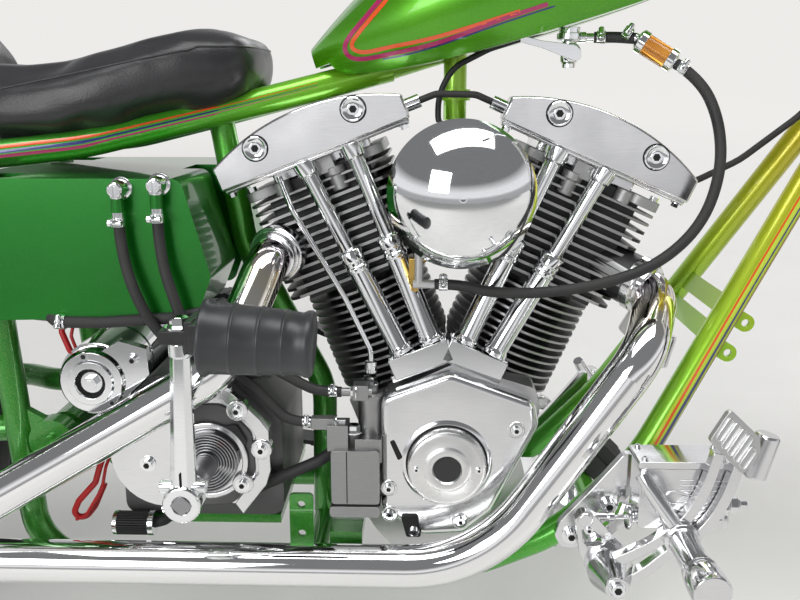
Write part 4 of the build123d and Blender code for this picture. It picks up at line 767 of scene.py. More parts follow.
# Pushrod tubes
# Chrome telescoping tubes: the lower one slides over the upper and is held by a keeper at its
# top. They stand on chromed lifter blocks, each with four screws.
tubes = bmesh.new()
block_screws = []
for lead in (-1, 1):
    place = bore(lead)
    brick(tubes, (-lead * 35, -90, 160), (66, 30, 24), lay=place)
    brick(tubes, (-lead * 35, -90, 150), (74, 26, 8), lay=place)
    for x in (-30, 30):
        for y in (-78, -102):
            along_bore = place.to_3x3() @ Vector((0, 0, 1))
            block_screws.append((place @ Vector((-lead * 35 + x * 0.98, y, 171)), along_bore, 2.6))
    for top, foot in ((-5, 18), (48, 52)):
        head = place @ Vector((-lead * top, -83, 397.4))
        base = place @ Vector((-lead * foot, -90, 172))
        span = (head - base).length
        half = span / 2
        turned(tubes, base, head - base,
               [(0, 13.5), (5, 13.5), (7, 12.2), (9, 11.5), (half - 14, 11.5), (half - 13, 12.8),
                (half - 9, 12.8), (half - 8, 11.6), (half - 3, 11.6), (half - 2, 13.0), (half + 8, 13.0),
                (half + 10, 12.0), (half + 11, 8.5), (span - 16, 8.5), (span - 15, 11.0), (span - 6, 12.0),
                (span, 12.0)], around=30)
settle("pushrod_tubes", tubes, "frame", [chrome], "pushrod_tubes", bevel=0.9, smooth=28, slot="chrome")
cap_screws.grow(block_screws)

# Gear cover
# Five-sided polished cover over the timing gears, ringed with socket screws, with the round
# points cover spun from sheet and held by two small screws.
cam_outline = [(6, 405), (94, 373), (99, 348), (52, 250), (22, 224), (-24, 221), (-67, 250), (-67, 378)]
points_middle = Vector((2.6, -129.0, 306.0))
cover = bmesh.new()
slab(cover, round_corners(cam_outline, 15, 8), -129, -104.3)
cam_piece = settle("cam_cover", cover, "frame", [polished], "cam_cover", bevel=7, smooth=30,
                   slot="polished_aluminium")
cam_piece.modifiers["edge"].segments = 5
points = bmesh.new()
turned(points, points_middle, to_right, [(-1, 50), (0.6, 47), (2.2, 43.8)], around=72)
# a ring of painted shade in the groove round the foot of the points cover
turned(points, points_middle, to_right, [(1.0, 43.9), (2.4, 43.5), (2.4, 41)], around=72, slot=1)
turned(points, points_middle, to_right,
       [(0, 41.6), (14, 41.0), (16.6, 40.0), (17.6, 38.4), (17.8, 36), (17.8, 25.2), (18.2, 24.4),
        (19.4, 22.4), (19.8, 19), (19.2, 15.6), (17.4, 14.2)], around=72, slot=2, hollow=True)
turned(points, points_middle, to_right, [(16.6, 14.4), (17.3, 13.8), (17.6, 0)], around=48, slot=3)
settle("points_cover", points, "frame", [polished, shadow, satin_bright, black_plastic], smooth=28,
       slot="polished_aluminium")
cover_screws, wells = [], bmesh.new()
for x, z in ((75, 344), (-59, 277), (-58, 247), (18, 240)):
    # Each screw stands in a well with a ring of painted shade under its head.
    turned(wells, (x, -128.6, z), to_right, [(0, 9.6), (1.2, 8.4), (1.3, 6.9)], around=30)
    turned(wells, (x, -129.4, z), to_right, [(0, 7.2), (0.7, 6.6)], around=30, slot=1)
    cover_screws.append(((x, -129.4, z), to_right, 4.2))
# timing slot at the rear of the cover, drawn as a dark plate of painted shade, and a line clip under it
slab(wells, round_corners([(-58, 330), (-53, 332), (-44, 312), (-49, 308)], 3), -129.5, -128, 1)
slab(wells, round_corners([(-46, 246), (-28, 246), (-24, 222), (-40, 222)], 3), -133, -127, 1)
cover_screws.append(((-32, -133, 229), to_right, 4.2))
settle("cam_cover_wells", wells, "frame", [polished, shadow], bevel=0.5, slot="polished_aluminium")
for x in (-32, 33):
    cover_screws.append(((2.6 + x, -146.7, 306), to_right, 2.6))
cap_screws.grow(cover_screws)

# Oil pump
# Cast body low on the gear case: a box with a joint line and a foot flange, and a round valve
# chamber beside it. Two barbed stubs take the oil hoses.
pump_metal = bare_metal("pump_casting", (0.36, 0.36, 0.36), 0.34, 0.50, grain=0.4, grain_size=900.0)
pump = bmesh.new()
slab(pump, round_corners([(-119, 264), (-119, 324), (-86, 324), (-68, 324), (-68, 264)], 4), -143, -100)
slab(pump, round_corners([(-121, 250), (-121, 262), (-68, 262), (-68, 250)], 4), -145, -100)
# the joint line over the flange and the seam down the body are thin dark strips of painted shade
slab(pump, [(-119.4, 262.4), (-119.4, 263.6), (-68, 263.6), (-68, 262.4)], -143.3, -101, 1)
slab(pump, [(-103, 265), (-103, 323), (-101.9, 323), (-101.9, 265)], -143.3, -142.8, 1)
brick(pump, (-80, -118, 322), (28, 40, 26))
turned(pump, (-79, -113, 322), upward, [(0, 13), (50, 13), (52, 14), (56, 14), (58, 12), (58, 8), (64, 8)],
       around=32)
brick(pump, (-128, -128, 350), (24, 12, 12))
brick(pump, (-112, -126, 336), (22, 26, 28))
for x, z in ((-136, 350), (-108, 384)):
    pipe(pump, [Vector((x + 32, -128, z)), Vector((x, -128, z))], 4.5)
brick(pump, (-88, -124, 384), (16, 18, 16))
settle("oil_pump", pump, "frame", [pump_metal, shadow], "oil_pump", bevel=1.5, smooth=32,
       slot="satin_aluminium")
hex_heads.grow([((-113, -128, 350), (-1, 0, 0), 6.0), ((-92, -128, 384), (-1, 0, 0), 5.6),
                ((-96, -128, 340), upward, 7.0), ((-79, -104, 386), upward, 7.0)])

# Gearbox, starter and kick shaft cover
# Cast gearbox with a polished cover on its right. The kick shaft's flat return spring is wound in
# the open half of the cover, and the starter's polished end cover stands above it.
kick_cover = bmesh.new()
cover_outline = [(-343, 300), (-330, 350), (-290, 385), (-225, 385), (-188, 345), (-185, 290), (-215, 245),
                 (-300, 240)]
plate_arc = [(-292 + 58 * cos(radians(turn)), 319 + 58 * sin(radians(turn))) for turn in range(96, 287, 10)]
slab(kick_cover, [*plate_arc, (-216, 256), (-188, 284), (-185, 300), (-185, 344), (-225, 385), (-288, 385)],
     -130, -104.3)
middle, open_share = Vector((-262, 312)), 0.80
opening = [tuple(middle + (Vector(point) - middle) * open_share) for point in cover_outline]
slab(kick_cover, round_corners(opening, 18), -133, -129, 1)
flange = [(-300, 388), (-290, 378), (-232, 378), (-206, 352), (-198, 338), (-196, 296), (-222, 262),
          (-214, 250), (-188, 284), (-183, 300), (-184, 344), (-192, 356), (-220, 384), (-232, 389)]
slab(kick_cover, flange, -140, -128)
cover_bosses = ((-216, 367), (-192, 324), (-213, 285))
for x, z in cover_bosses:
    turned(kick_cover, (x, -128, z), to_right, [(0, 11.5), (13, 11.5), (14, 10.5), (14, 0)], around=24)
slab(kick_cover, round_corners([(-244, 346), (-218, 350), (-207, 330), (-222, 316)], 5), -137, -132, 2)
turned(kick_cover, (-233, -136, 330), to_right, [(0, 4.4), (2, 4.0), (2, 0)], around=16, slot=3)
turned(kick_cover, (-250, -135, 309), to_right,
       [(0, 43), (2, 43), (3, 42), (3, 37), (-3, 36), (-3, 13), (66, 13), (67, 12), (67, 0)], around=48)
settle("kicker_cover", kick_cover, "frame", [polished, gearbox_metal, black_plastic, orange], "kicker_cover",
       bevel=1.4, slot="polished_aluminium")
half_plate = bmesh.new()
slab(half_plate, [*plate_arc, (-268, 264), (-276, 300), (-272, 350), (-280, 374)], -146, -131)
turned(half_plate, (-311, -146, 309), to_right, [(0, 8), (0.2, 8), (0.2, 0)], around=24)
settle("kick_stop_plate", half_plate, "frame", [polished], bevel=1.6, slot="polished_aluminium")
cover_bolts = [((-311, -146.2, 309), to_right, 5.6)]
for x, z in cover_bosses:
    cover_bolts.append(((x, -142, z), to_right, 5.0))
for x, z in ((-322, 348), (-298, 250)):
    cover_bolts.append(((x, -130, z), to_right, 4.4))
cap_screws.grow(cover_bolts)

spring_tree = Growth("return_spring", Inner=10.0, Outer=34.0, Turns=8.0, Strip=1.3, Depth=7.0, Metal=steel)
spiral = spring_tree.add(
    "GeometryNodeCurveSpiral", Resolution=30, Rotations=spring_tree.size("Turns"),
    Start_Radius=spring_tree.size("Inner"), End_Radius=spring_tree.size("Outer"), Height=0.0)
strip = spring_tree.add("GeometryNodeCurvePrimitiveQuadrilateral", Width=spring_tree.size("Strip"),
                        Height=spring_tree.size("Depth"))
spring_tree.end((spring_tree.wire(spiral, strip), "Metal"))
on_shaft = Matrix.Translation((-250, -141, 309)) @ Matrix.Rotation(radians(90), 4, "X")
spring_tree.grow([((0, 0, 0), upward, 1)], lay=straight_ahead @ on_shaft, slot="steel")

starter = bmesh.new()
turned(starter, (-366, -126, 396), to_left,
       [(0, 38.6), (70, 38.6), (71, 37.4), (74, 37.4), (75, 38.6), (190, 38.6), (192, 37)], around=48)
turned(starter, (-366, -128, 396), to_right,
       [(0, 36), (10, 35), (14, 32), (14, 24), (18, 23), (18, 16), (12, 14.5)], around=48, hollow=True)
# a dark disc of painted shade in the hollow at the middle of the end cover, under its nut
turned(starter, (-366, -139, 396), to_right, [(0, 15), (0.6, 14.6), (0.6, 0)], around=32, slot=1)
arm = [(-366 + 24 * cos(radians(turn)), 396 + 24 * sin(radians(turn))) for turn in range(100, 281, 15)]
slab(starter, [*arm, (-340, 372), (-306, 404), (-308, 432), (-336, 440)], -138, -127)
settle("starter_motor", starter, "frame", [chrome, shadow], "starter_motor", bevel=1.8, slot="chrome")
hex_heads.grow([((-366, -139, 396), to_right, 7.5)])
cap_screws.grow([((-322, -138, 420), to_right, 4.6), ((-372, -138, 424), to_right, 4.6),
                 ((-346, -138, 374), to_right, 3.6)])

# Gearbox details
# Ribs and a filler plug on the gearbox, the wires of the starter, and the breather with its
# pleated filter below.
ribs = bmesh.new()
for x in (-286, -262, -238, -214, -196):
    brick(ribs, (x, -92, 398), (4, 40, 12))
brick(ribs, (-238, -98, 392), (104, 8, 5))
turned(ribs, (-206, -106, 404), (0, -1, 0.4), [(0, 13), (6, 13), (7, 9), (12, 9), (12, 0)], around=24)
settle("gearbox_ribs", ribs, "frame", [gearbox_metal], bevel=1.2, slot="satin_aluminium")
red_wire = dull_coat("red_wire", (0.45, 0.012, 0.014), 0.38, spread=1.3)
wires = bmesh.new()
for route, radius in (([(-398, -112, 462), (-401, -122, 446), (-393, -124, 426), (-384, -118, 408)], 3.2),
                      ([(-389, -112, 460), (-392, -120, 440), (-383, -122, 414)], 1.8),
                      ([(-366, -108, 318), (-372, -122, 294), (-378, -122, 276), (-398, -122, 254),
                        (-406, -120, 238), (-396, -116, 229), (-384, -112, 244), (-374, -106, 268)], 3.4),
                      ([(-360, -104, 316), (-367, -118, 292), (-372, -120, 268), (-392, -122, 236),
                        (-404, -118, 230)], 1.8)):
    pipe(wires, rounded(route, [9] * (len(route) - 2)), radius, around=12)
settle("starter_wires", wires, "frame", [red_wire], smooth=60, slot="black_rubber")
breather = bmesh.new()
turned(breather, (-362, -116, 226), forward, [(0, 0), (0, 13), (5, 13.6), (5, 12)], around=40)
turned(breather, (-323, -116, 226), forward, [(0, 12), (0, 13.6), (6, 13.6), (6, 0)], around=40)
for k in range(30):
    spin = Matrix.Rotation(2 * pi * k / 30, 4, "X")
    pleat = Matrix.Translation((-340, -116, 226)) @ spin @ Matrix.Translation((0, 0, 11))
    brick(breather, (0, 0, 0), (35, 1.6, 4), pleat, 1)
turned(breather, (-358, -116, 226), forward, [(0, 0), (0, 9.6), (36, 9.6), (36, 0)], around=32, slot=1)
pipe(breather, rounded([(-320, -116, 226), (-306, -112, 228), (-296, -100, 240)], [12]), 6, slot=1)
settle("breather_filter", breather, "frame", [chrome, black_rubber], bevel=0.3, slot="black_rubber")

# Primary drive
# Open toothed belt on the left, from the engine pulley to the clutch basket, which is closed by a
# pressure plate with springs.
crank, clutch_shaft = (0, 250), (-300, 330)
dress("primary_pulleys", satin)
dress("primary_belt", black_rubber)


def round_two(first, first_r, second, second_r, count):
    """Places and directions evenly spaced along a band stretched round two circles, in x and z."""
    first, second = Vector(first), Vector(second)
    span = second - first
    base = atan2(span.y, span.x)
    spread = pi / 2 - asin((first_r - second_r) / span.length)
    flat = sqrt(span.length ** 2 - (first_r - second_r) ** 2)
    arc_first, arc_second = first_r * (2 * pi - 2 * spread), second_r * 2 * spread
    whole = arc_first + arc_second + 2 * flat
    rows = []
    for i in range(count):
        at = whole * i / count
        if at < arc_first:
            angle = base + spread + at / first_r
            rows.append((first + Vector((cos(angle), sin(angle))) * first_r, angle + pi / 2))
        elif at < arc_first + flat:
            angle = base - spread
            start = first + Vector((cos(angle), sin(angle))) * first_r
            rows.append((start + Vector((cos(angle + pi / 2), sin(angle + pi / 2))) * (at - arc_first),
                         angle + pi / 2))
        elif at < arc_first + flat + arc_second:
            angle = base - spread + (at - arc_first - flat) / second_r
            rows.append((second + Vector((cos(angle), sin(angle))) * second_r, angle + pi / 2))
        else:
            angle = base + spread
            start = second + Vector((cos(angle), sin(angle))) * second_r
            rest = at - arc_first - flat - arc_second
            rows.append((start + Vector((cos(angle + pi / 2), sin(angle + pi / 2))) * rest, angle + pi / 2))
    return rows


def loop_seeds(rows, y):
    """Seeds round a loop, each pointing along it."""
    return [((spot.x, y, spot.y), (cos(angle), 0, sin(angle)), 1.0) for spot, angle in rows]


belt_ribs = Growth("belt_ribs", Length=5.0, Height=2.0, Width=38.0, Rubber=black_rubber)
belt_ribs.end((belt_ribs.at_seeds(belt_ribs.block("Length", "Width", "Height"), "X", "Y"), "Rubber"))
belt_ribs.grow(loop_seeds(round_two(crank, 56.6, clutch_shaft, 98.6, 92), 159), slot="black_rubber")

clutch = bmesh.new()
turned(clutch, (-300, 180, 330), to_left,
       [(0, 90), (2, 90), (3, 88), (3, 60), (17, 58), (19, 54), (19, 20), (22, 18), (22, 0)], around=64)
turned(clutch, (0, 180, 250), to_left, [(0, 50), (3, 50), (4, 48), (4, 24), (10, 22), (10, 0)], around=48)
settle("clutch_pressure_plate", clutch, "frame", [polished], bevel=0.8, slot="satin_aluminium")
clutch_nuts = [((-300, 201, 330), to_left, 11.0), ((0, 190, 250), to_left, 13.0)]
for k in range(10):
    angle = 2 * pi * k / 10
    clutch_nuts.append(((clutch_shaft[0] + 76 * cos(angle), 183, clutch_shaft[1] + 76 * sin(angle)),
                        to_left, 4.2))
for k in range(3):
    angle = 2 * pi * k / 3 + 0.4
    clutch_nuts.append(((clutch_shaft[0] + 38 * cos(angle), 199, clutch_shaft[1] + 38 * sin(angle)),
                        to_left, 6.0))
hex_heads.grow(clutch_nuts)

# Final chain
# Roller chain of oiled steel, a pair of side plates and a roller to each link.
dress("final_chain", shadow)
links = Growth("chain_links", Pitch=15.9, Plate=11.0, Thick=1.6, Gap=10.0, Roller=5.0, Steel=steel)
plates = []
for side in (-1, 1):
    shift = links.sum_of("MULTIPLY", links.size("Gap"), side * 0.5)
    plates.append(links.moved(links.block("Pitch", "Thick", "Plate"), Y=shift))
roller = links.add("GeometryNodeMeshCylinder", Vertices=10, Radius=links.size("Roller"), Depth=17.0)
across_chain = links.moved(roller.outputs["Mesh"], turn=(radians(90), 0, 0))
link = links.joined([*plates, across_chain])
links.end((links.at_seeds(link, "X", "Y"), "Steel"))
chain_round = round_two(clutch_shaft, 60.8, rear_axle.xz, 121.4, 104)
links.grow(loop_seeds(chain_round, 84), nodes=("final_chain",), slot="steel")


# Exhaust
# Two bent chrome pipes, one over the other, each held in its port by a clamped collar. The plating
# is tinted straw and blue where the pipe leaves the head.
def heat_tinted_chrome():
    """Chrome that turns straw and then blue near the two exhaust ports."""
    finish = Finish("exhaust_chrome", Metallic=1.0, Roughness=0.05)
    worn = finish.effect(marks, Scale=10.0, Stretch=50.0)
    finish.shade("Roughness", worn["Smear"], (0.35, 0.035), (0.8, 0.11))
    reach = []
    for port in ((200, -96, 520), (-150, -106, 540)):
        away = finish.add("VectorMath", operation="DISTANCE", Vector=finish.where())
        away.inputs[1].default_value = straight_ahead @ Vector(port)
        reach.append(away.outputs["Value"])
    heat = finish.sum_of("MINIMUM", *reach)
    straw, blue_grey = (0.80, 0.74, 0.60), (0.62, 0.58, 0.62)
    finish.shade("Base Color", heat, (0.03, blue_grey), (0.055, straw), (0.10, 0.90))
    return finish.material


pipe_chrome = heat_tinted_chrome()
soot = dull_coat("pipe_soot", (0.02, 0.018, 0.016), 0.9)


def inside_mouth(spot, normal):
    """1 inside the pipes' rear mouths, else 0."""
    if spot.x > -744:
        return 0
    centre = Vector((spot.x, -170, 209)) if spot.z < 236 else Vector((spot.x, -174, 262))
    return int((spot - centre).dot(normal) < -1)


for node in ("front_pipe", "rear_pipe"):
    paint_where(node, inside_mouth, pipe_chrome, soot)
port_collars = bmesh.new()
for lead, start, way in ((1, (50, -30, 302), (0.75, -0.66, 0)), (-1, (-50, -20, 318), (-0.30, -0.954, 0))):
    place = bore(lead)
    spot = place @ Vector(start)
    out = (place.to_3x3() @ Vector(way)).normalized()
    turned(port_collars, spot + out * 53, out,
           [(0, 29), (2, 30.5), (12, 30.5), (14, 29), (14, 26), (20, 25), (21, 23)], around=40)
settle("port_collars", port_collars, "frame", [polished], bevel=0.6, slot="polished_aluminium")

# Fuel tank, oil tank and fender
# Pressed and welded sheet in candy green over metal flake. A narrow magenta, orange and blue loop
# is sprayed round each side of the fuel tank.
tank_paint = candy("tank_candy", (0.035, 0.24, 0.003), (0.11, 0.42, 0.004))
oil_tank_paint = candy("oil_tank_candy", (0.002, 0.12, 0.006), (0.006, 0.21, 0.012))
dress("oil_tank", oil_tank_paint)
dress("rear_fender", tank_paint)

tank_lookup = bmesh.new()
tank_lookup.from_mesh(frame["nodes"]["fuel_tank"].data)
bmesh.ops.transform(tank_lookup, matrix=straight_ahead.inverted(), verts=tank_lookup.verts)
bmesh.ops.remove_doubles(tank_lookup, verts=tank_lookup.verts, dist=0.01)
tank_skin = BVHTree.FromBMesh(tank_lookup)
dress("fuel_tank", tank_paint)


def on_tank(px, py, side):
    """Where a pixel of the photograph falls on the tank's skin, on the right or mirrored to the left."""
    focus, middle_x, middle_y = 900.0, 400, 300
    aim = sight.to_3x3() @ Vector(((px - middle_x) / focus, (middle_y - py) / focus, -1))
    spot, normal, _, _ = tank_skin.ray_cast(sight.to_translation(), aim.normalized())
    if spot is None:
        return None
    return (Vector((spot.x, -side * spot.y, spot.z)), Vector((normal.x, -side * normal.y, normal.z)))


def curved(points, steps=6):
    """A smooth flat path through a few points."""
    points = [Vector(point) for point in points]
    path = []
    for i in range(len(points) - 1):
        before, first = points[max(i - 1, 0)], points[i]
        second, after = points[i + 1], points[min(i + 2, len(points) - 1)]
        for k in range(steps):
            t = k / steps
            path.append(0.5 * (
                (2 * first) + (second - before) * t
                + (2 * before - 5 * first + 4 * second - after) * t ** 2
                + (3 * first - before - 3 * second + after) * t ** 3))
    return [*path, points[-1]]


def beside(path, i):
    """Direction square to a flat path at one of its points."""
    ahead = (path[min(i + 1, len(path) - 1)] - path[max(i - 1, 0)]).normalized()
    return Vector((-ahead.y, ahead.x))


def tank_stripe(shape, outline, width, slot, side):
    """A stripe of even width laid on the tank's skin through pixels of the photograph."""
    middle_line = curved(outline)
    rows = []
    for i, point in enumerate(middle_line):
        over = beside(middle_line, i) * (width / 2)
        found = [on_tank(*(point + over * share), side) for share in (-1, 0, 1)]
        row = [shape.verts.new(spot + normal * 0.30) for spot, normal in filter(None, found)]
        rows.append(row if len(row) == 3 else None)
    for first, second in zip(rows, rows[1:]):
        if first and second:
            for k in range(2):
                corners = (first[k], first[k + 1], second[k + 1], second[k])
                face = shape.faces.new(corners if side < 0 else corners[::-1])
                face.material_index = slot


tank_loop = {  # stripe colour: pixels of its middle line, and its width in pixels
    0: ([(520, 11), (440, 36), (390, 47), (366, 52), (355, 50), (352, 44), (358, 34), (372, 17), (384, 3),
         (388, -3)], 4.0),
    2: ([(548, 4), (500, 20), (440, 42), (390, 54), (362, 59), (349, 56), (345, 47), (350, 36), (364, 19),
         (380, 0), (383, -4)], 4.5),
    1: ([(555, 6), (500, 24), (440, 45), (405, 55), (383, 59)], 1.6),
}
for side, flank in ((-1, "right"), (1, "left")):
    loop = bmesh.new()
    for slot, (outline, width) in tank_loop.items():
        tank_stripe(loop, outline, width, slot, side)
    bmesh.ops.recalc_face_normals(loop, faces=loop.faces)
    settle(f"tank_stripes_{flank}", loop, "frame", [orange, blue, magenta], smooth=60, slot="tank_paint")


# Seat
# Foam pads in smooth black leather over a thin pan, with a pale lock-stitched seam round the top
# panel. The covers are inflated over the foam, so they swell between the edge and the seam.
def seat_leather():
    """Smooth black leather with a fine grain and soft shine."""
    finish = Finish("seat_leather", Roughness=0.34, Coat_Weight=0.12, Coat_Roughness=0.3)
    cloud = finish.texture("Noise", Scale=9.0, Detail=4.0).outputs["Fac"]
    finish.shade("Base Color", cloud, (0.3, (0.016, 0.016, 0.018)), (0.7, (0.026, 0.026, 0.028)))
    finish.shade("Roughness", cloud, (0.3, 0.28), (0.7, 0.42))
    pores = finish.texture("Voronoi", Scale=420.0)
    finish.bump(pores.outputs["Distance"], 0.25, 0.0005)
    return finish.material


leather = seat_leather()


def height_at(line, x):
    """Height of a line that is drawn through points in x and z."""
    for (x1, z1), (x2, z2) in zip(line, line[1:]):
        if x <= x2:
            return z1 + (z2 - z1) * (x - x1) / (x2 - x1)
    return line[-1][1]


def pad(name, stations, widths):
    """A pad drawn through stations, each an x, a floor and a top, with their half widths."""
    shape = bmesh.new()
    rings = []
    for (x, low, high), half in zip(stations, widths):
        ring = []
        for k in range(32):
            angle = 2 * pi * k / 32
            c, s = cos(angle), sin(angle)
            y = half * (abs(c) ** 0.5) * (1 if c > 0 else -1)
            z = (low + high) / 2 + (high - low) / 2 * (abs(s) ** 0.55) * (1 if s > 0 else -1)
            ring.append(shape.verts.new((x, y, z)))
        rings.append(ring)
    for first, second in zip(rings, rings[1:]):
        for k in range(32):
            j = (k + 1) % 32
            shape.faces.new((first[k], second[k], second[j], first[j]))
    shape.faces.new(rings[0])
    shape.faces.new(rings[-1][::-1])
    bmesh.ops.recalc_face_normals(shape, faces=shape.faces)
    mesh = bpy.data.meshes.new(name)
    shape.to_mesh(mesh)
    shape.free()
    mesh.transform(straight_ahead)
    return mesh


def upholstered(name, mesh, most):
    """Blows the cover up over the foam: the cloth may move at most so far, in millimetres."""
    cover = bpy.data.objects.new(name, mesh)
    bpy.context.scene.collection.objects.link(cover)
    merge = cover.modifiers.new("even_mesh", "REMESH")
    merge.mode = "VOXEL"
    merge.voxel_size = 0.006
    flat = bpy.data.meshes.new_from_object(cover.evaluated_get(bpy.context.evaluated_depsgraph_get()))
    cover.modifiers.clear()
    cover.data = flat
    before = [v.co.copy() for v in flat.vertices]
    cloth = cover.modifiers.new("cover", "CLOTH")
    cloth.settings.use_pressure = True
    cloth.settings.uniform_pressure_force = 4.0
    cloth.settings.effector_weights.gravity = 0.0
    cloth.settings.tension_stiffness = 12.0
    cloth.settings.quality = 5
    cloth.point_cache.frame_start, cloth.point_cache.frame_end = 1, 20
    for step in range(1, 21):
        bpy.context.scene.frame_set(step)
        blown = cover.evaluated_get(bpy.context.evaluated_depsgraph_get())
    after = [v.co.copy() for v in blown.data.vertices]
    cover.modifiers.clear()
    for vert, start, end in zip(flat.vertices, before, after):
        move = end - start
        vert.co = start + move * min(1.0, most / 1000 / max(move.length, 1e-9))
    bpy.context.scene.frame_set(1)
    smoother = cover.modifiers.new("soften", "SMOOTH")
    smoother.factor = 0.6
    smoother.iterations = 6
    finer = cover.modifiers.new("finer", "SUBSURF")
    finer.levels = finer.render_levels = 1
    done = bpy.data.meshes.new_from_object(cover.evaluated_get(bpy.context.evaluated_depsgraph_get()))
    cover.modifiers.clear()
    cover.data = done
    done.materials.clear()
    done.materials.append(leather)
    done.shade_smooth()
    return cover


# the rider's pad stands on a pan over the frame rail: x, the pan's lift, and the pad's top
pan_line = [(-490, 624 + 16), (-372, 637 + 16), (-243, 668 + 16), (-173, 688 + 16)]
front_pad = []
for x, lift, top in ((-500, 2, 714), (-470, 0, 712), (-440, 0, 710), (-400, -2, 714), (-345, -4, 727),
                     (-300, -5, 739), (-262, -6, 747), (-230, -7, 750), (-212, -7, 750), (-202, -3, 746),
                     (-197, 5, 738)):
    front_pad.append((x, height_at(pan_line, max(x, -480)) + lift, top))
front_half = [108, 118, 122, 124, 121, 114, 106, 95, 84, 72, 56]
rear_pad = [(-798, 708, 752), (-790, 706, 772), (-765, 706, 786), (-700, 706, 789), (-620, 706, 784),
            (-560, 706, 774), (-535, 706, 757), (-518, 706, 736), (-506, 708, 722)]
rear_half = [70, 92, 106, 112, 112, 110, 106, 100, 90]
seat_pads = []
for name, stations, halves in (("rider_pad", front_pad, front_half), ("rear_pad", rear_pad, rear_half)):
    cover = upholstered(name, pad(name, stations, halves), 7.0)
    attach(cover, "frame")
    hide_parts("seat")
    seat_pads.append(cover)

# The seam runs round the rider's pad below its top panel: a sunk line with pale lock stitches.
pad_look = bmesh.new()
pad_look.from_mesh(seat_pads[0].data)
bmesh.ops.transform(pad_look, matrix=straight_ahead.inverted(), verts=pad_look.verts)
pad_skin = BVHTree.FromBMesh(pad_look)
pad_look.free()
seam_heights = [(-490, 690), (-451, 691), (-368, 708), (-266, 729), (-181, 736)]

seam_line = []
for side in (-1, 1):
    sides = []
    for k in range(41):
        x = -486 + k * 226 / 40
        hit = pad_skin.ray_cast(Vector((x, side * 300, height_at(seam_heights, x))), Vector((0, -side, 0)))
        if hit[0]:
            sides.append(hit[0] + hit[1] * 0.2)
    seam_line.append(sides)
nose_line = []
for k in range(1, 30):
    turn = radians(-90 + 180 * k / 30)
    way = Vector((cos(turn), sin(turn), 0))
    hit = pad_skin.ray_cast(Vector((-260, 0, height_at(seam_heights, -215 + 20 * cos(turn)))) + way * 300,
                            -way)
    if hit[0]:
        nose_line.append(hit[0] + hit[1] * 0.2)
seam_path = seam_line[0] + nose_line + seam_line[1][::-1]
seam = bmesh.new()
pipe(seam, seam_path, 1.1, around=8)

for first, second in zip(seam_path, seam_path[1:]):
    count = max(1, round((second - first).length / 5.6))
    for k in range(count):
        start = first.lerp(second, (k + 0.18) / count)
        end = first.lerp(second, (k + 0.82) / count)
        lift = Vector((0, 0, 3.2))
        pipe(seam, [start - lift, end - lift], 0.95, around=6, slot=1)
settle("seat_seam", seam, "frame", [leather, dull_coat("pale_thread", (0.42, 0.41, 0.39), 0.7)], smooth=60,
       slot="black_leather")


# Fuel and oil lines
# Black rubber hoses pushed over barbed stubs, each end held by a worm clamp, so they hang free in
# between. Their points are the same as in the part's source, laid over into metres.
def hose_rubber():
    """Black rubber hose with the faint weave of the cloth that it was cured in."""
    finish = Finish("hose_rubber", Roughness=0.6)
    dust = finish.texture("Noise", Scale=22.0, Detail=4.0).outputs["Fac"]
    finish.shade("Base Color", dust, (0.35, (0.017, 0.017, 0.018)), (0.75, (0.040, 0.039, 0.037)))
    finish.shade("Roughness", dust, (0.3, 0.50), (0.7, 0.72))
    weave = finish.texture("Voronoi", Scale=620.0)
    finish.bump(weave.outputs["Distance"], 0.35, 0.0004)
    return finish.material


hose_black = hose_rubber()
filter_start, filter_end = Vector((189, -80, 740)), Vector((225, -90, 717))
filter_way = (filter_end - filter_start).normalized()
hose_routes = {  # hose: its route, and its real length in metres
    "fuel_hose": (
        [filter_end, filter_end + filter_way * 30, (266, -114, 660), (266, -130, 612), (248, -140, 562),
         (208, -144, 524), (156, -144, 504), (100, -142, 494), (44, -134, 492), (14, -116, 497),
         (-12, -116, 497)], 0.47),
    "oil_feed_hose": (
        [(-318, -164, 575.7), (-318, -164, 536), (-300, -169, 480), (-276, -150, 436), (-240, -126, 412),
         (-206, -122, 392), (-182, -124, 367), (-163, -128, 350), (-136, -128, 350)], 0.32),
    "oil_return_hose": (
        [(-280, -164, 579.7), (-280, -164, 534), (-266, -169, 488), (-256, -158, 448), (-230, -124, 426),
         (-190, -116, 411), (-154, -124, 393), (-132, -128, 384), (-108, -128, 384)], 0.31),
}


def worm_clamp(shape, spot, way, radius, toward):
    """A worm clamp round a hose: its band, and the screw in its housing on the side that it faces."""
    way = Vector(way).normalized()
    toward = (Vector(toward) - way * Vector(toward).dot(way)).normalized()
    turned(shape, Vector(spot) - way * 4.5, way,
           [(0, radius), (0, radius + 1.0), (9, radius + 1.0), (9, radius)], around=28, hollow=True)
    crosswise = way.cross(toward)
    middle = Vector(spot) + toward * (radius + 3.0)
    turned(shape, middle - crosswise * 6, crosswise,
           [(0, 2.4), (0.6, 3.0), (8, 3.0), (9, 2.4), (9, 1.6), (10, 1.6), (10, 4.0), (13, 4.0),
            (13.6, 3.4), (13.6, 0)], around=16)


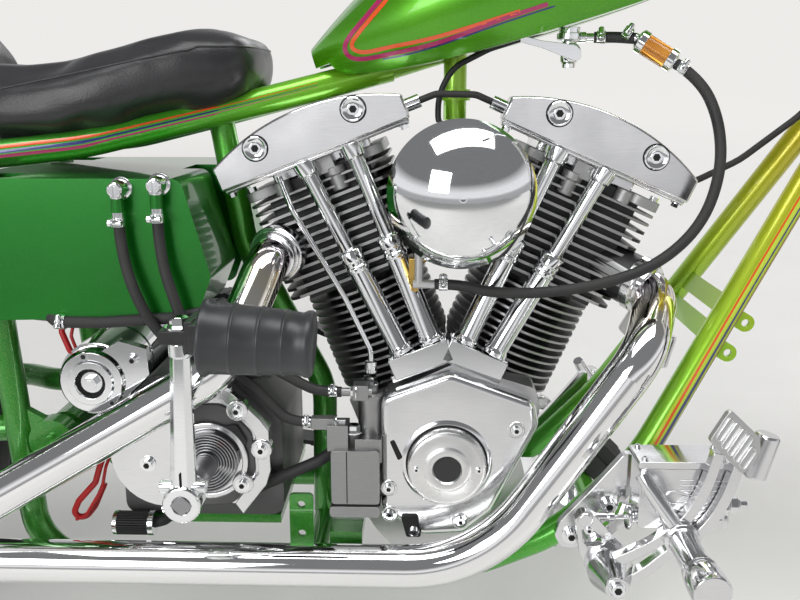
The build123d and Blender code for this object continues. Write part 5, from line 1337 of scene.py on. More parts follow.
for node, (route, length) in hose_routes.items():
    route = [Vector(point) for point in route]
    curve = bpy.data.curves.new(node, "CURVE")
    curve.dimensions = "3D"
    spline = curve.splines.new("NURBS")
    spline.points.add(len(route) - 1)
    for point, spot in zip(spline.points, route):
        point.co = (*(straight_ahead @ spot), 1)
    spline.order_u = 3
    spline.use_endpoint_u = True
    spline.resolution_u = 10
    curve.bevel_depth = 0.0055
    curve.bevel_resolution = 5
    curve.use_fill_caps = True
    curve.materials.append(hose_black)
    line = bpy.data.objects.new(node, curve)
    bpy.context.scene.collection.objects.link(line)
    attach(line, "frame")
    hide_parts(node)
    clamps = bmesh.new()
    leave, arrive = route[1] - route[0], route[-1] - route[-2]
    worm_clamp(clamps, route[0] + leave.normalized() * 9, leave, 5.5, (0, -1, 0.3))
    worm_clamp(clamps, route[-1] - arrive.normalized() * 9, arrive, 5.5, (0, -1, 0.6))
    held = settle(f"{node}_clamps", clamps, "frame", [chrome], bevel=0.2, smooth=32, slot="chrome")


# Fuel tap, filter and the fittings of the oil tank
# Chromed tap screwed into the tank's floor, its lever to the rear. A short hose carries the
# filter, an amber glass barrel between two chromed caps.
def amber_glass():
    """Fuel-stained glass of the filter's barrel."""
    finish = Finish("amber_glass", Transmission_Weight=0.75, IOR=1.45, Roughness=0.06)
    stain = finish.texture("Noise", Scale=60.0, Detail=3.0)
    finish.shade("Base Color", stain.outputs["Fac"], (0.3, (0.62, 0.22, 0.03)), (0.7, (0.86, 0.42, 0.08)))
    return finish.material


tap = bmesh.new()
turned(tap, (124, -62, 753), (0, 0, -1),
       [(0, 11), (6, 11), (6, 13), (12, 13), (13, 11), (14, 7.5), (22, 7.5), (24, 9), (34, 9), (36, 7),
        (40, 7), (40, 0)], around=24)
tap_out = Vector((26, -4, 0)).normalized()
turned(tap, (124, -62, 743), tap_out, [(0, 5.5), (16, 5.5), (17, 4.2), (26, 4.2), (26, 0)], around=20)
turned(tap, (124, -62, 728), to_right, [(0, 8), (12, 8), (13, 9.5), (17, 9.5), (18, 8), (18, 0)], around=24)
lever = [(-52, 3.2), (-30, 3.6), (-8, 6.5), (4, 7.5), (9, 4), (9, -4), (4, -7.5), (-8, -6.5), (-30, -3.6),
         (-52, -3.2)]
slab(tap, round_corners([(124 + x, 728 + z + 0.25 * -x) for x, z in lever], 3), -83, -79)
for share in (0.0, 1.0):
    cap_spot = filter_start.lerp(filter_end, share)
    inward = filter_way * (1 if share == 0 else -1)
    turned(tap, cap_spot - inward * 4, inward,
           [(0, 0), (0, 5.2), (3, 5.2), (4, 9), (6, 12), (13, 12), (13, 0)], around=28)
for spot, way in (((155, -67.4, 743), (26, -5, 0)), (filter_start - filter_way * 12, filter_way)):
    worm_clamp(tap, spot, way, 5.5, (0, -1, 0.5))
settle("fuel_tap_body", tap, "frame", [chrome], "fuel_tap", bevel=0.4, slot="chrome")
tap_hose = bmesh.new()
pipe(tap_hose, rounded([(148, -65.7, 743), (169, -69, 743), filter_start - filter_way * 2], [40]), 5.5,
     around=20)
settle("fuel_tap_hose", tap_hose, "frame", [hose_black], smooth=60, slot="black_rubber")
glass = bmesh.new()
turned(glass, filter_start + filter_way * 8, filter_way, [(0, 10.8), (27, 10.8)], around=32)
settle("fuel_filter_glass", glass, "frame", [amber_glass()], smooth=50, slot="amber_glass")

oil_fittings = bmesh.new()
for x, z in ((-318, 598), (-280, 602)):
    turned(oil_fittings, (x, -148, z), to_right,
           [(0, 11), (3, 11), (4, 8.5), (12, 8.5), (14, 7.5), (22, 7.5), (23, 6), (23, 0)], around=24)
    turned(oil_fittings, (x, -164, z + 4), (0, 0, -1),
           [(0, 0), (0, 7.2), (12, 7.2), (13, 5.8), (34, 5.8), (34, 0)], around=24)
settle("oil_tank_fittings", oil_fittings, "frame", [chrome], bevel=0.4, slot="chrome")


def on_cross_line(spot, normal):
    """1 on the tube between the rocker boxes, else 0."""
    return int(spot.z > 650 and -28 < spot.x < 46)


paint_where("rocker_oil_lines", on_cross_line, chrome, hose_black)

# Throttle cable
# Black sheathed cable from the carburettor, up behind the cross line and forward inside the
# tank's tunnel, where clips hold it to the backbone.
cable = bmesh.new()
cable_route = [(14, -52, 632), (-9, -48, 656), (-9, -46, 686), (6, -44, 714), (44, -42, 733), (86, -38, 746),
               (140, -28, 768), (200, -24, 786)]
pipe(cable, rounded(cable_route, [24, 60, 40, 60, 120, 160]), 3.2, around=14)
settle("throttle_cable", cable, "frame", [black_plastic], smooth=60, slot="black_plastic")

# Small lines
# A vent hose clipped under the edge of the oil tank, the drain hose from the crankcase, a brass
# drain on the carburettor and the loom from the front head to the steering neck.
small_lines = bmesh.new()
pipe(small_lines,
     rounded([(-405, -142, 470), (-393, -150, 463), (-349, -152, 463), (-267, -152, 469), (-238, -146, 476),
              (-226, -132, 480)], [10, 60, 60, 30]), 6.0, around=18)
pipe(small_lines, rounded([(-246, -96, 252), (-217, -118, 264), (-133, -118, 303), (-112, -108, 316)],
                          [30, 30]), 6.4, around=18)
pipe(small_lines,
     rounded([(246, -15, 588), (276, -20, 595), (320, -20, 617), (380, -22, 665), (440, -30, 742),
              (462, -34, 790)], [30, 80, 80, 60]), 3.6, around=14)
settle("small_lines", small_lines, "frame", [hose_black], smooth=60, slot="black_rubber")
fittings = bmesh.new()
worm_clamp(fittings, (-388, -150.5, 463), forward, 6.2, (0, -1, 0.4))
settle("vent_hose_clamp", fittings, "frame", [chrome], bevel=0.2, smooth=32, slot="chrome")
drain = bmesh.new()
brick(drain, (-32, -104, 512), (13, 13, 20))
turned(drain, (-32, -104, 503), (0, 0, -1), [(0, 6.5), (8, 6.5), (9, 4), (16, 4), (16, 0)], around=6)
pipe(drain, [Vector((-32, -104, 516)), Vector((-10, -104, 530)), Vector((6, -104, 545))], 4.5)
settle("carburettor_drain", drain, "frame", [brass], bevel=0.5, slot="satin_aluminium")


# Foot controls
# Machined from bare aluminium and polished: on each side a plate bolted to the rail, a foot peg and a
# lever of two curved rails. The right one works the brake through the block of its master cylinder.
def open_plate(shape, outline, hole, right, left):
    """A plate with one hole, whose outlines in x and z have as many points as each other."""
    rings = [[shape.verts.new((x, y, z)) for x, z in loop] for y in (right, left) for loop in (outline, hole)]
    for k in range(len(outline)):
        j = (k + 1) % len(outline)
        for a, b in ((0, 1), (1, 3), (3, 2), (2, 0)):
            shape.faces.new((rings[a][k], rings[a][j], rings[b][j], rings[b][k]))


def strap(shape, path, width, right, left):
    """A flat bar of even width along a path in x and z."""
    edge_one = [tuple(point + beside(path, i) * width / 2) for i, point in enumerate(path)]
    edge_two = [tuple(point - beside(path, i) * width / 2) for i, point in enumerate(path)]
    slab(shape, edge_one + edge_two[::-1], right, left)


def foot_set():
    """Plate, lever, pad and peg of one side, drawn on the right."""
    shape = bmesh.new()
    plate = [(117, 232), (124, 219), (140, 217), (151, 238), (162, 262), (188, 272), (196, 282), (196, 326),
             (185, 324), (148, 278), (122, 248)]
    slab(shape, round_corners(plate, 8, 3), -144, -133.5)
    strap(shape, curved([(138, 224), (164, 232), (184, 248), (192, 268)]), 12, -143.5, -134)
    lever = [(131, 270), (141, 280), (152, 273), (170, 252), (188, 236), (190, 216), (168, 197), (146, 208),
             (137, 234)]
    hole = [(138, 258), (142, 260), (150, 258), (156, 253), (163, 247), (160, 243), (154, 241), (144, 240),
            (139, 248)]
    open_plate(shape, lever, hole, -183, -172)
    turned(shape, (167, -144, 219), to_right,
           [(0, 15), (27, 15), (28, 22), (42, 23), (50, 23), (78, 12.4), (80, 12.4), (83, 11.4), (83, 8.2),
            (80.5, 8), (80.5, 0)], around=48)
    turned(shape, (141, -186, 270), to_left, [(0, 0), (0, 6.5), (2, 8), (16, 8), (18, 6.5), (18, 0)],
           around=24)
    strap(shape, curved([(168, 236), (190, 247), (213, 262), (234, 282), (250, 312), (261, 352)]), 10.5,
          -207, -195)
    strap(shape, curved([(180, 214), (200, 228), (220, 246), (248, 267), (268, 298), (281, 340)]), 10.5,
          -207, -195)
    base, along, up = Vector((250, 367)), Vector((0.717, -0.697)), Vector((0.48, 0.877))

    def on_pad(u, v):
        return tuple(base + along * u + up * v)

    full = [on_pad(u, v) for u, v in ((-1, -1), (47, -2), (50, 12), (49, 27), (40, 36), (-1, 35))]
    slab(shape, round_corners(full, 5, 4), -211, -203, 1)
    # five slots, each with a raised rim
    for u, half, low, high in ((5.5, 3.5, 5, 30), (14.2, 3.5, 3, 31), (22.9, 3.5, 2, 31),
                               (31.6, 3.5, 2, 31), (41, 4.2, 2, 25)):
        rims = [[on_pad(u - half + d, low + d), on_pad(u + half - d, low + d), on_pad(u + half - d, high - d),
                 on_pad(u - half + d, high - d)] for d in (0, 1.2)]
        open_plate(shape, round_corners(rims[0], 3.2, 4), round_corners(rims[1], 2.2, 4), -212.6, -210.6)
    turned(shape, (302, -186, 320), (0.25, 0, 0.97),
           [(0, 0), (0, 11), (2, 12.5), (44, 12.5), (46, 11), (46, 0)], around=32)
    pipe(shape, [Vector((192, -192, 324)), Vector((199, -198, 312)), Vector((229, -206, 268))], [7, 8, 8.5],
         around=24)
    turned(shape, (230, -194, 264), to_right,
           [(0, 0), (0, 13), (3, 17), (9, 17), (10, 15), (14, 15), (15, 17.5), (20, 17.5), (22, 14),
            (74, 14), (75, 16.5), (80, 16.5), (82, 14.5), (88, 14.5), (90, 18), (112, 18), (116, 16.5),
            (116, 0)], around=40)
    return shape


right_set = foot_set()
slab(right_set, round_corners([(191, 267), (276, 267), (276, 330), (191, 330)], 2, 2), -193, -152)
slab(right_set, round_corners([(188, 331), (279, 331), (279, 338), (188, 338)], 1.5, 2), -196, -150)
for k in range(9):
    brick(right_set, (252, -193.2, 276 + 5.2 * k), (44, 1.6, 2.2))
recess = [(212, 299), (221, 308), (240, 306), (240, 292), (221, 290)]
open_plate(right_set, round_corners(recess, 8, 3),
           round_corners([(216, 299), (222, 304), (237, 303), (237, 295), (222, 294)], 5, 3), -194.4, -192)
turned(right_set, (276, -172, 284), forward,
       [(0, 15), (6, 15), (8, 13), (10, 9), (18, 9), (18, 6.5), (20, 6.5), (21, 4), (28, 4), (28, 0)],
       around=6)
turned(right_set, (262, -174, 270), forward, [(0, 10), (20, 10), (22, 8), (22, 0)], around=28)
turned(right_set, (191, -172, 268), (-1, 0, 0),
       [(0, 8), (2, 8), (3, 12.5), (5, 13.2), (7, 12), (7, 2.6), (30, 2.6), (30, 0)], around=28)
turned(right_set, (172, -171, 268), (-1, 0, 0),
       [(0, 4), (0, 6), (6, 6), (7, 5), (22, 5), (26, 6.5), (34, 6.5), (34, 0)], around=12)
bmesh.ops.recalc_face_normals(right_set, faces=right_set.faces)
settle("right_foot_controls", right_set, "frame", [polished, satin], "right_controls", bevel=1.0, smooth=32,
       slot="polished_aluminium")
left_set = foot_set()
bmesh.ops.scale(left_set, vec=(1, -1, 1), verts=left_set.verts)
bmesh.ops.recalc_face_normals(left_set, faces=left_set.faces)
settle("left_foot_controls", left_set, "frame", [polished, satin], "left_controls", bevel=1.0, smooth=32,
       slot="polished_aluminium")
control_bolts = []
for side in (-1, 1):
    control_bolts += [((172, side * 144, 268), (0, side, 0), 6.4),
                      ((134, side * 144, 233), (0, side, 0), 6.4),
                      ((167, side * 224, 219), (0, side, 0), 6.6),
                      ((145, side * 183, 259), (0, side, 0), 3.2)]
control_bolts += [((195, -189, 338), upward, 2.6), ((271, -189, 338), upward, 2.6),
                  ((195, -157, 338), upward, 2.6), ((271, -157, 338), upward, 2.6)]
cap_screws.grow(control_bolts)

# Wheels
# Chrome rims laced with thin steel spokes to small hubs, under road tyres whose tread is cut with
# rain grooves; the sipes of the shoulder blocks are thin dark strips of painted shade.
rubber_road = dull_coat("tyre_rubber", (0.019, 0.019, 0.020), 0.62, grain=0.3, grain_size=500.0)


def tyre_profile(tyre_r, tyre_w, rim_r, rim_w, grooves):
    """Half-way round a tyre's section: distance across and radius, with narrow grooves in the crown."""
    crown = tyre_w / 2
    shoulder = tyre_r - crown
    rows = [(-(rim_w / 2 - 2), rim_r + 0.6), (-(rim_w / 2 + 3), rim_r + 8)]
    rows.append((-crown * 0.90, (shoulder + rim_r) / 2 + 4))
    for k in range(49):
        angle = pi * (k / 48)
        y = -crown * cos(angle)
        radius = shoulder + crown * sin(angle) * 0.998
        depth = 3.0 if any(abs(y - groove * crown) < crown * 0.035 for groove in grooves) else 0
        rows.append((y, radius - depth))
    rows += [(crown * 0.90, (shoulder + rim_r) / 2 + 4), (rim_w / 2 + 3, rim_r + 8),
             (rim_w / 2 - 2, rim_r + 0.6)]
    return rows


# each sipe is a thin dark strip of painted shade laid on the shoulder
tread = Growth("painted_sipe_shade", Length=26.0, Width=2.2, Height=0.5, Sipe_Shade=shadow)
tread.end((tread.at_seeds(tread.block("Length", "Width", "Height"), "Z"), "Sipe_Shade"))
# the front axle stands ahead of the steering line, where the long fork brings it down to the floor
fork_offset, front_tyre_radius = 50, 345
fork_line = Vector((-sin(rake), 0, cos(rake)))
axle_drop = (steering_head.z + fork_offset * sin(rake) - front_tyre_radius) / cos(rake)
front_axle = steering_head + Vector((cos(rake), 0, sin(rake))) * fork_offset - fork_line * axle_drop
wheels = (  # name, hub, tyre radius and width, rim radius and width, hub flange, hub half, laying over
    ("rear", rear_axle, 320, 130, 208, 84, 56, 76, straight_ahead),
    ("front", front_axle, front_tyre_radius, 80, 270, 56, 36, 44, turned_left),
)
for name, hub, tyre_r, tyre_w, rim_r, rim_w, flange, half, lay in wheels:
    body = f"{name}_wheel"
    tyre = bmesh.new()
    turned(tyre, hub, to_left, tyre_profile(tyre_r, tyre_w, rim_r, rim_w, (-0.42, 0.0, 0.42)), around=96,
           hollow=True)
    settle(f"{name}_tyre", tyre, body, [rubber_road], f"{name}_tyre", lay=lay, smooth=50, slot="road_tyre")
    sipe_shade_spots = []
    for k in range(56):
        for side in (-1, 1):
            angle = 2 * pi * (k + (0.5 if side > 0 else 0)) / 56
            out = Vector((cos(angle), 0, sin(angle)))
            tilt = (out * 0.80 + Vector((0, side * 0.60, 0))).normalized()
            crown = tyre_w / 2
            sipe_shade_spots.append((hub + out * (tyre_r - crown) + tilt * (crown - 0.1), tilt, 1.0))
    tread.grow(sipe_shade_spots, body, lay=lay, slot="road_tyre", Length=tyre_w * 0.17, Width=2.0)
    wheel = bmesh.new()
    floor = rim_r - 20
    rows = [(-rim_w / 2, floor + 14), (-rim_w / 2, rim_r - 1), (-rim_w / 2 + 2, rim_r),
            (-rim_w / 2 + 4, rim_r - 2), (-rim_w / 2 + 9, floor + 7), (0, floor + 5),
            (rim_w / 2 - 9, floor + 7), (rim_w / 2 - 4, rim_r - 2), (rim_w / 2 - 2, rim_r),
            (rim_w / 2, rim_r - 1), (rim_w / 2, floor + 14), (rim_w / 2 - 8, floor + 3),
            (rim_w * 0.2, floor), (-rim_w * 0.2, floor), (-rim_w / 2 + 8, floor + 3),
            (-rim_w / 2, floor + 14)]
    turned(wheel, hub, to_left, rows, around=96, hollow=True)
    turned(wheel, hub, to_left,
           [(-half, 11), (-half, flange * 0.60), (-half + 4, flange * 0.62), (-half + 4, flange),
            (-half + 11, flange), (-half + 22, flange * 0.62), (0, flange * 0.50),
            (half - 22, flange * 0.62), (half - 11, flange), (half - 4, flange), (half - 4, flange * 0.62),
            (half, flange * 0.60), (half, 11)], around=48)
    bmesh.ops.remove_doubles(wheel, verts=wheel.verts, dist=0.001)
    spoke_lines = bmesh.new()
    count = 40
    for i in range(count):
        side = 1 if i % 2 else -1
        swing = radians(34 if rim_r < 240 else 30) * (1 if (i // 2) % 2 else -1)
        angle = 2 * pi * i / count
        inner = flange - 4
        start = hub + Vector((inner * cos(angle + swing), side * (half - 7.5), inner * sin(angle + swing)))
        end = hub + Vector(((floor + 1) * cos(angle), side * rim_w * 0.14, (floor + 1) * sin(angle)))
        pipe(spoke_lines, [start, end], 1.7, around=8)
        out = (end - start).normalized()
        turned(spoke_lines, end - out * 20, out, [(0, 2.4), (1, 3.0), (19, 3.0), (20, 2.6)], around=8)
    if name == "front":
        for side in (-1, 1):
            turned(wheel, hub + Vector((0, side * half, 0)), (0, side, 0), [(0, 19), (3, 19), (4, 17)],
                   around=32)
    settle(f"{name}_rim_and_hub", wheel, body, [chrome], f"{name}_wheel", lay=lay, slot="chrome")
    settle(f"{name}_spokes", spoke_lines, body, [chrome], lay=lay, smooth=50, slot="chrome")


def lifted(node, choose):
    """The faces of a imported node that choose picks, by their corners in the upright drawing."""
    shape = bmesh.new()
    shape.from_mesh(frame["nodes"][node].data)
    bmesh.ops.transform(shape, matrix=straight_ahead.inverted(), verts=shape.verts)
    bmesh.ops.delete(shape, geom=[face for face in shape.faces if not all(choose(v.co) for v in face.verts)],
                     context="FACES")
    bmesh.ops.remove_doubles(shape, verts=shape.verts, dist=0.002)
    return shape


brake_disc = lifted("rear_wheel", lambda corner: -88.3 < corner.y < -81.7)
settle("brake_disc", brake_disc, "rear_wheel", [steel], slot="steel")
sprocket = lifted("rear_wheel", lambda corner: 79.7 < corner.y < 88.3)
settle("rear_sprocket", sprocket, "rear_wheel", [steel], slot="steel")
hub_ends = bmesh.new()
for side in (-1, 1):
    turned(hub_ends, (rear_axle.x, side * 60, rear_axle.z), (0, side, 0),
           [(0, 38), (28, 38), (30, 36), (30, 22), (27, 20), (27, 11)], around=48)
settle("hub_ends", hub_ends, "rear_wheel", [polished], bevel=0.5, slot="polished_aluminium")
hub_bolts = []
for k in range(6):
    angle = 2 * pi * (k + 0.5) / 6
    for side, face in ((-1, -88), (1, 88)):
        spot = rear_axle + Vector((58 * cos(angle), face, 58 * sin(angle)))
        hub_bolts.append((spot, (0, side, 0), 5.0))
hex_heads.grow(hub_bolts, "rear_wheel")
teeth = Growth("sprocket_teeth", Width=6.4, Height=12.0, Steel=steel)
tooth = teeth.add("GeometryNodeMeshCone", Vertices=4, Depth=teeth.size("Height"),
                  Radius_Top=teeth.sum_of("MULTIPLY", teeth.size("Width"), 0.28),
                  Radius_Bottom=teeth.sum_of("MULTIPLY", teeth.size("Width"), 0.72))
teeth.end((teeth.at_seeds(tooth.outputs["Mesh"], "Z", "Y"), "Steel"))
first_roller = next(spot for spot, _ in chain_round if spot.x < -850)
phase = atan2(first_roller.y - rear_axle.z, first_roller.x - rear_axle.x)
tips = []
for k in range(48):
    angle = phase + 2 * pi * (k + 0.5) / 48
    out = Vector((cos(angle), 0, sin(angle)))
    tips.append((rear_axle + Vector((0, 84, 0)) + out * 112, out, 1.0))
teeth.grow(tips, "rear_wheel", slot="steel")

# Rear axle, shock absorbers, fender and tail lamp
# Chrome coil springs round slim dampers, a candy fender rolled from sheet, and a round lamp with a
# red lens in a chrome shell.
dress("rear_axle", polished)
axle_nuts = [((rear_axle.x, side * 142.4, rear_axle.z), (0, side, 0), 15.0) for side in (-1, 1)]
axle_nuts += [((-736 + x, -111.2, 412 + z), to_right, 5.0) for x, z in ((-24, -20), (22, 22))]
hex_heads.grow(axle_nuts)
springs = Growth("shock_springs", Radius=19.5, Wire=3.4, Length=250.0, Turns=15.0, Metal=chrome)
coil = springs.add(
    "GeometryNodeCurveSpiral", Resolution=20, Rotations=springs.size("Turns"), Height=springs.size("Length"),
    Start_Radius=springs.size("Radius"), End_Radius=springs.size("Radius"))
section = springs.add("GeometryNodeCurvePrimitiveCircle", Resolution=8, Radius=springs.size("Wire"))
springs.end((springs.wire(coil, section), "Metal"))
dampers = bmesh.new()
for side in (-1, 1):
    top, foot = Vector((-660, side * 156, 638.3)), Vector((-770, side * 156, 350))
    down = (foot - top).normalized()
    length = (foot - top).length
    turned(dampers, top, down,
           [(0, 13), (6, 20), (14, 23), (26, 23), (28, 21), (28, 10), (120, 10), (121, 15),
            (length - 30, 15), (length - 30, 22), (length - 22, 23), (length - 12, 20), (length, 13)],
           around=32)
    for spot, start, pin in ((top, 127, 14), (foot, 100, 20)):
        turned(dampers, (spot.x, side * start, spot.z), (0, side, 0),
               [(0, 9), (pin, 9), (pin + 2, 15), (pin + 28, 15), (pin + 30, 13)], around=24)
    turn = down.to_track_quat("Z", "Y").to_matrix().to_4x4()
    springs.grow([((0, 0, 0), upward, 1)], lay=straight_ahead @ Matrix.Translation(top + down * 29) @ turn)
settle("rear_shocks", dampers, "frame", [chrome], "rear_shocks", slot="chrome")

tail_lens = bmesh.new()
turned(tail_lens, (-1166, 0, 591.6), (-1, 0, 0), [(-14, 30.5), (-4, 30.5), (1, 27), (3, 18), (3.6, 0)],
       around=40)
lens = Finish("red_lens", Base_Color=(0.45, 0.006, 0.006, 1), Roughness=0.12, Coat_Weight=1.0,
              Coat_Roughness=0.03)
flutes = lens.texture("Wave", Scale=60.0)
lens.bump(flutes.outputs["Fac"], 0.3, 0.0006)
settle("tail_lamp_lens", tail_lens, "frame", [lens.material], smooth=40, slot="chrome")
dress("tail_lamp", chrome)

# Front end
# Long fork in two yokes: chromed tubes in polished sliders, with a rubber seal at the top of each.
# Pull-back bar on two risers, rubber grips, a clutch lever on the left and a chromed headlamp.
dress("triple_trees", polished)
dress("handlebar", chrome)
dress("headlamp", chrome)


def fork_tubes():
    """Both legs, drawn in the steering neck's frame."""
    shape = bmesh.new()
    for side in (-1, 1):
        foot = Vector((fork_offset, side * 98, -axle_drop))
        slider_top = 292
        tube = axle_drop - slider_top + 124
        turned(shape, foot + Vector((0, 0, slider_top)), upward,
               [(0, 20.5), (tube, 20.5), (tube + 3, 18), (tube + 3, 0)], around=40)
        turned(shape, foot + Vector((0, 0, -30)), upward,
               [(0, 0), (0, 14), (3, 16), (10, 24), (16, 27), (60, 28), (285, 28), (288, 29.5), (302, 29.5),
                (304, 28.5), (304, 21)], around=40, slot=1)
        turned(shape, foot + Vector((0, 0, 274)), upward,
               [(0, 26), (5, 27.5), (10, 27.5), (20, 22.5), (22, 20.6)], around=40, slot=2)
        turned(shape, foot + Vector((0, side * 20, 0)), (0, side, 0),
               [(0, 21), (12, 21), (14, 19), (14, 12), (20, 12), (20, 0)], around=32, slot=1)
    turned(shape, Vector((fork_offset, -98, -axle_drop)), to_left, [(0, 10), (196, 10)], around=24)
    return shape


settle("fork_tubes", fork_tubes(), "steering", [chrome, polished, black_rubber], "fork_legs",
       lay=turned_left @ neck, bevel=0.8, smooth=32, slot="chrome")

clamp_spot = neck @ Vector((50, 0, 207))
grip_end = Vector((clamp_spot.x - 250, 370, clamp_spot.z + 70))
grip_way = (Vector((clamp_spot.x - 60, 310, clamp_spot.z + 150)) - grip_end).normalized()
grips = bmesh.new()
for side in (-1, 1):
    way = Vector((grip_way.x, side * grip_way.y, grip_way.z))
    start = Vector((grip_end.x, side * grip_end.y, grip_end.z)) + way * 6
    rows = [(0, 0), (0, 15), (2, 18.5), (5, 19)]
    for k in range(13):
        rows += [(8 + 8.4 * k, 17.2), (12 + 8.4 * k, 17.2), (13 + 8.4 * k, 18.2), (15 + 8.4 * k, 18.2)]
    rows += [(120, 17.4), (122, 21), (127, 21), (128, 14)]
    turned(grips, start, way, rows, around=36)
settle("rubber_grips", grips, "steering", [black_rubber], lay=turned_left, bevel=0.3, smooth=35,
       slot="black_rubber")

lamp_front = neck @ Vector((72, 0, -102))
lamp_place = Matrix.Translation((lamp_front.x + 26, 0, lamp_front.z + 2))
lamp_place = lamp_place @ Matrix.Rotation(radians(86), 4, "Y")


def lamp_lens():
    """Clear fluted glass of the headlamp, with the light and shade of its flutes painted into its colour."""
    finish = Finish("headlamp_glass", Roughness=0.04, IOR=1.45, Coat_Weight=0.6, Coat_Roughness=0.03)
    flutes = finish.texture("Wave", Scale=70.0, Distortion=0.0, bands_direction="Y").outputs["Fac"]
    # lighter and darker bands along the flutes: painted light and shade
    finish.shade("Base Color", flutes, (0.2, (0.62, 0.64, 0.66)), (0.8, (0.84, 0.86, 0.88)))
    finish.bump(flutes, 0.4, 0.001)
    return finish.material


lamp = bmesh.new()
turned(lamp, (0, 0, 108), upward, [(0, 77), (3, 77), (8, 62), (11, 38), (12, 0)], around=64)
settle("headlamp_lens", lamp, "steering", [lamp_lens()], lay=turned_left @ lamp_place, smooth=60,
       slot="amber_glass")
bezel = bmesh.new()
turned(bezel, (0, 0, 92), upward, [(0, 84.4), (2, 85.5), (14, 85.5), (18, 83), (19, 77), (17, 76)], around=72,
       hollow=True)
settle("headlamp_bezel", bezel, "steering", [chrome], lay=turned_left @ lamp_place, bevel=0.4, smooth=35,
       slot="chrome")

# Kick lever
# Chromed steel forging clamped on its shaft, with a rubber pedal that hinges on a black yoke.
kick_arm = bmesh.new()
turned(kick_arm, (-250, -212, 309), to_right,
       [(0, 11), (8, 11), (9, 17), (11, 18.5), (30, 18.5), (32, 17), (32, 9), (30, 9), (30, 0)], around=40)
# the arm is an eight-sided bar that narrows to its top
rings = []
for z, middle, half in ((316, -249.5, 15), (330, -249.4, 12.5), (352, -248.6, 11.6), (452, -245.4, 9.4),
                        (464, -245, 10.4), (470, -245, 8.6)):
    ring = []
    for x, y in ((-1, -0.35), (-0.5, -1), (0.5, -1), (1, -0.35), (1, 0.35), (0.5, 1), (-0.5, 1), (-1, 0.35)):
        ring.append(kick_arm.verts.new((middle + x * half, -233 + y * 8, z)))
    rings.append(ring)
for low, high in zip(rings, rings[1:]):
    for k in range(8):
        j = (k + 1) % 8
        kick_arm.faces.new((low[k], low[j], high[j], high[k]))
kick_arm.faces.new(rings[0][::-1])
kick_arm.faces.new(rings[-1])
turned(kick_arm, (-245, -233, 452), upward, [(0, 9), (2, 11), (14, 11), (15, 10), (15, 0)], around=28)
# clamp slit, drawn as a dark strip of painted shade, pinch bolt and the square end of the shaft
brick(kick_arm, (-250, -242.6, 330), (1.6, 1.4, 22), slot=1)
brick(kick_arm, (0, 0, 0), (15.5, 2.4, 15.5), slot=2,
      lay=Matrix.Translation((-250, -243.2, 309)) @ Matrix.Rotation(radians(45), 4, "Y"))
turned(kick_arm, (-272, -233, 324), forward, [(0, 0), (0, 6), (6, 6.5), (38, 6.5), (44, 6), (44, 0)],
       around=20)
settle("kick_arm_forging", kick_arm, "kick_lever", [chrome, shadow, steel], "kick_arm", bevel=1.3,
       smooth=22, slot="chrome")
yoke = bmesh.new()
brick(yoke, (-244, -236, 474), (34, 26, 13))
brick(yoke, (-229, -244, 478), (8, 38, 30))
brick(yoke, (-222, -258, 479), (14, 22, 26))
settle("kick_pedal_yoke", yoke, "kick_lever", [enamel], bevel=1.2, slot="black_plastic")
hex_heads.grow([((-244, -236, 480.5), upward, 9.0)], "kick_lever")
pedal = bmesh.new()
rings = [(0, 0), (0, 32), (1.5, 34.5), (5, 34.8), (8, 32.2)]
for along, radius in ((27, 31.2), (50, 30.0), (71, 28.6)):
    rings += [(along, radius), (along + 0.8, radius + 0.9), (along + 2.4, radius + 0.9),
              (along + 3.2, radius - 0.1)]
rings += [(87, 27.2), (91, 29.4), (95, 29.6), (97, 27.5), (97, 0)]
turned(pedal, (-215, -268, 481), (97, 0, -6), rings, around=48)
settle("kick_pedal_rubber", pedal, "kick_lever",
       [dull_coat("pedal_rubber", (0.030, 0.031, 0.034), 0.36, grain=0.1)], "kick_pedal", bevel=0.5,
       smooth=50, slot="black_rubber")

# Side stand
# Chromed bent leg on a pivot bolt under the left rail, with its return spring.
dress("side_stand", chrome)
stand_parts = bmesh.new()
turned(stand_parts, (150, 158.5, 200), to_left, [(0, 12), (2, 12), (3, 9), (10, 9), (10, 0)], around=6)
settle("stand_pivot_nut", stand_parts, "frame", [chrome], bevel=0.5, slot="chrome")


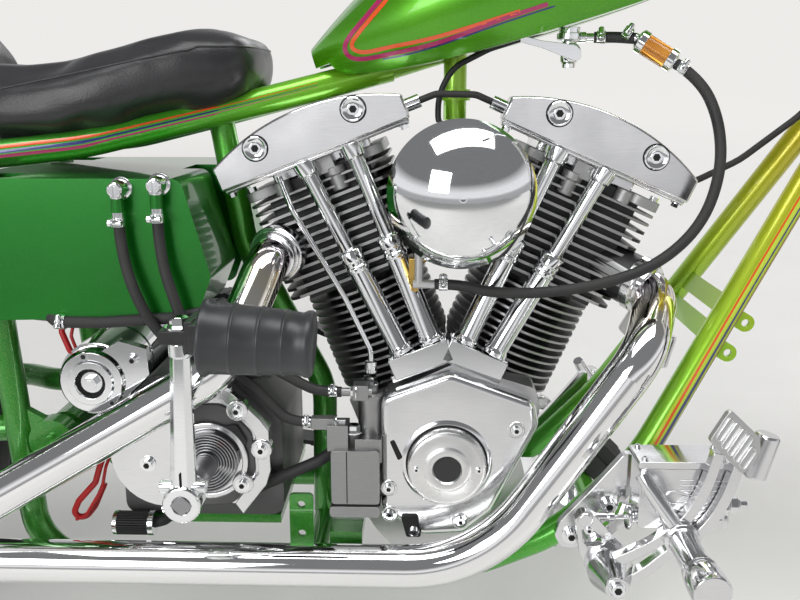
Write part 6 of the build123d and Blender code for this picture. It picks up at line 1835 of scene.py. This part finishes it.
# Studio
# A plain pale floor and wall round the machine, soft light from overhead and from both sides.
# The upper part of the surroundings is darker, so that bright metal shows its form.
def studio_floor():
    """Wide pale floor, its colour faintly uneven over a hand's breadth."""
    shape = bmesh.new()
    bmesh.ops.create_grid(shape, x_segments=8, y_segments=8, size=14)
    mesh = bpy.data.meshes.new("studio_floor")
    shape.to_mesh(mesh)
    shape.free()
    mesh.transform(Matrix.Translation((0, 0, -0.0004)))
    finish = Finish("pale_floor", Roughness=0.55)
    cloud = finish.texture("Noise", Scale=5.0, Detail=5.0)
    finish.shade("Base Color", cloud.outputs["Fac"], (0.3, (0.80, 0.79, 0.77)), (0.7, (0.86, 0.85, 0.83)))
    # far from the machine the floor runs into a pale background; near it the shadow stays
    seen = finish.add("LightPath").outputs
    far = finish.add("VectorMath", operation="LENGTH", Vector=finish.where()).outputs["Value"]
    paler = finish.add("MapRange", Value=far, From_Min=0.9, From_Max=3.2, To_Min=0.18, To_Max=0.96)
    # metal that faces the machine's right shows a darker floor there, so that its form can be read
    across_floor = finish.add("SeparateXYZ", Vector=finish.where()).outputs["Y"]
    beyond = finish.add("MapRange", Value=across_floor, From_Min=-3.4, From_Max=-1.3, To_Min=0.10, To_Max=1.0)
    total = finish.sum_of("MULTIPLY", beyond.outputs["Result"], seen["Is Glossy Ray"])
    for ray in ("Is Camera Ray", "Is Transmission Ray"):
        total = finish.sum_of("MAXIMUM", total, seen[ray])
    share = finish.sum_of("MULTIPLY", total, paler.outputs["Result"])
    pale = finish.add("Emission", Color=(0.87, 0.86, 0.84, 1), Strength=1.0)
    blend = finish.add("MixShader", Fac=share)
    finish.join(finish.shader.outputs[0], blend.inputs[1])
    finish.join(pale.outputs[0], blend.inputs[2])
    finish.join(blend.outputs[0], finish.tree.nodes["Material Output"].inputs["Surface"])
    mesh.materials.append(finish.material)
    floor = bpy.data.objects.new("studio_floor", mesh)
    bpy.context.scene.collection.objects.link(floor)


studio_floor()
bpy.context.scene.view_settings.view_transform = "Standard"
world = bpy.data.worlds.new("studio")
bpy.context.scene.world = world
world.use_nodes = True
sky = world.node_tree
sky.nodes.clear()
direction = node_in(sky, "ShaderNodeSeparateXYZ",
                    Vector=node_in(sky, "ShaderNodeTexCoord").outputs["Generated"])
fade = node_in(sky, "ShaderNodeValToRGB", Fac=direction.outputs["Z"])
stops = fade.color_ramp.elements
stops[0].position, stops[0].color = 0.0, (0.40, 0.40, 0.41, 1)
stops[1].position, stops[1].color = 1.0, (0.20, 0.205, 0.21, 1)
for spot, grey in ((0.05, 0.42), (0.09, 0.86), (0.20, 0.82), (0.36, 0.20)):
    stops.new(spot).color = (grey, grey, grey * 1.02, 1)
# the camera itself sees a plain pale wall
wall = node_in(sky, "ShaderNodeMix", data_type="RGBA")
wall.inputs[7].default_value = (0.84, 0.83, 0.81, 1)
sky.links.new(node_in(sky, "ShaderNodeLightPath").outputs["Is Camera Ray"], wall.inputs[0])
sky.links.new(fade.outputs["Color"], wall.inputs[6])
glow = node_in(sky, "ShaderNodeBackground", Color=wall.outputs[2], Strength=1.0)
node_in(sky, "ShaderNodeOutputWorld", Surface=glow.outputs[0])


def soft_lamp(name, spot, aim, width, height, power):
    """A wide soft lamp that looks at a point of the machine."""
    lamp = bpy.data.lights.new(name, "AREA")
    lamp.shape = "RECTANGLE"
    lamp.size, lamp.size_y = width, height
    lamp.energy = power
    holder = bpy.data.objects.new(name, lamp)
    bpy.context.scene.collection.objects.link(holder)
    spot, aim = Vector(spot), Vector(aim)
    holder.matrix_world = Matrix.Translation(spot) @ (spot - aim).to_track_quat("Z", "Y").to_matrix().to_4x4()


soft_lamp("overhead", (0.1, -0.5, 3.2), (0, 0, 0.4), 3.4, 1.2, 62)
soft_lamp("key", (-1.6, -3.0, 2.0), (0, 0, 0.5), 1.6, 1.6, 46)
soft_lamp("rear_fill", (1.0, 3.0, 2.2), (0, 0, 0.5), 2.4, 1.4, 40)
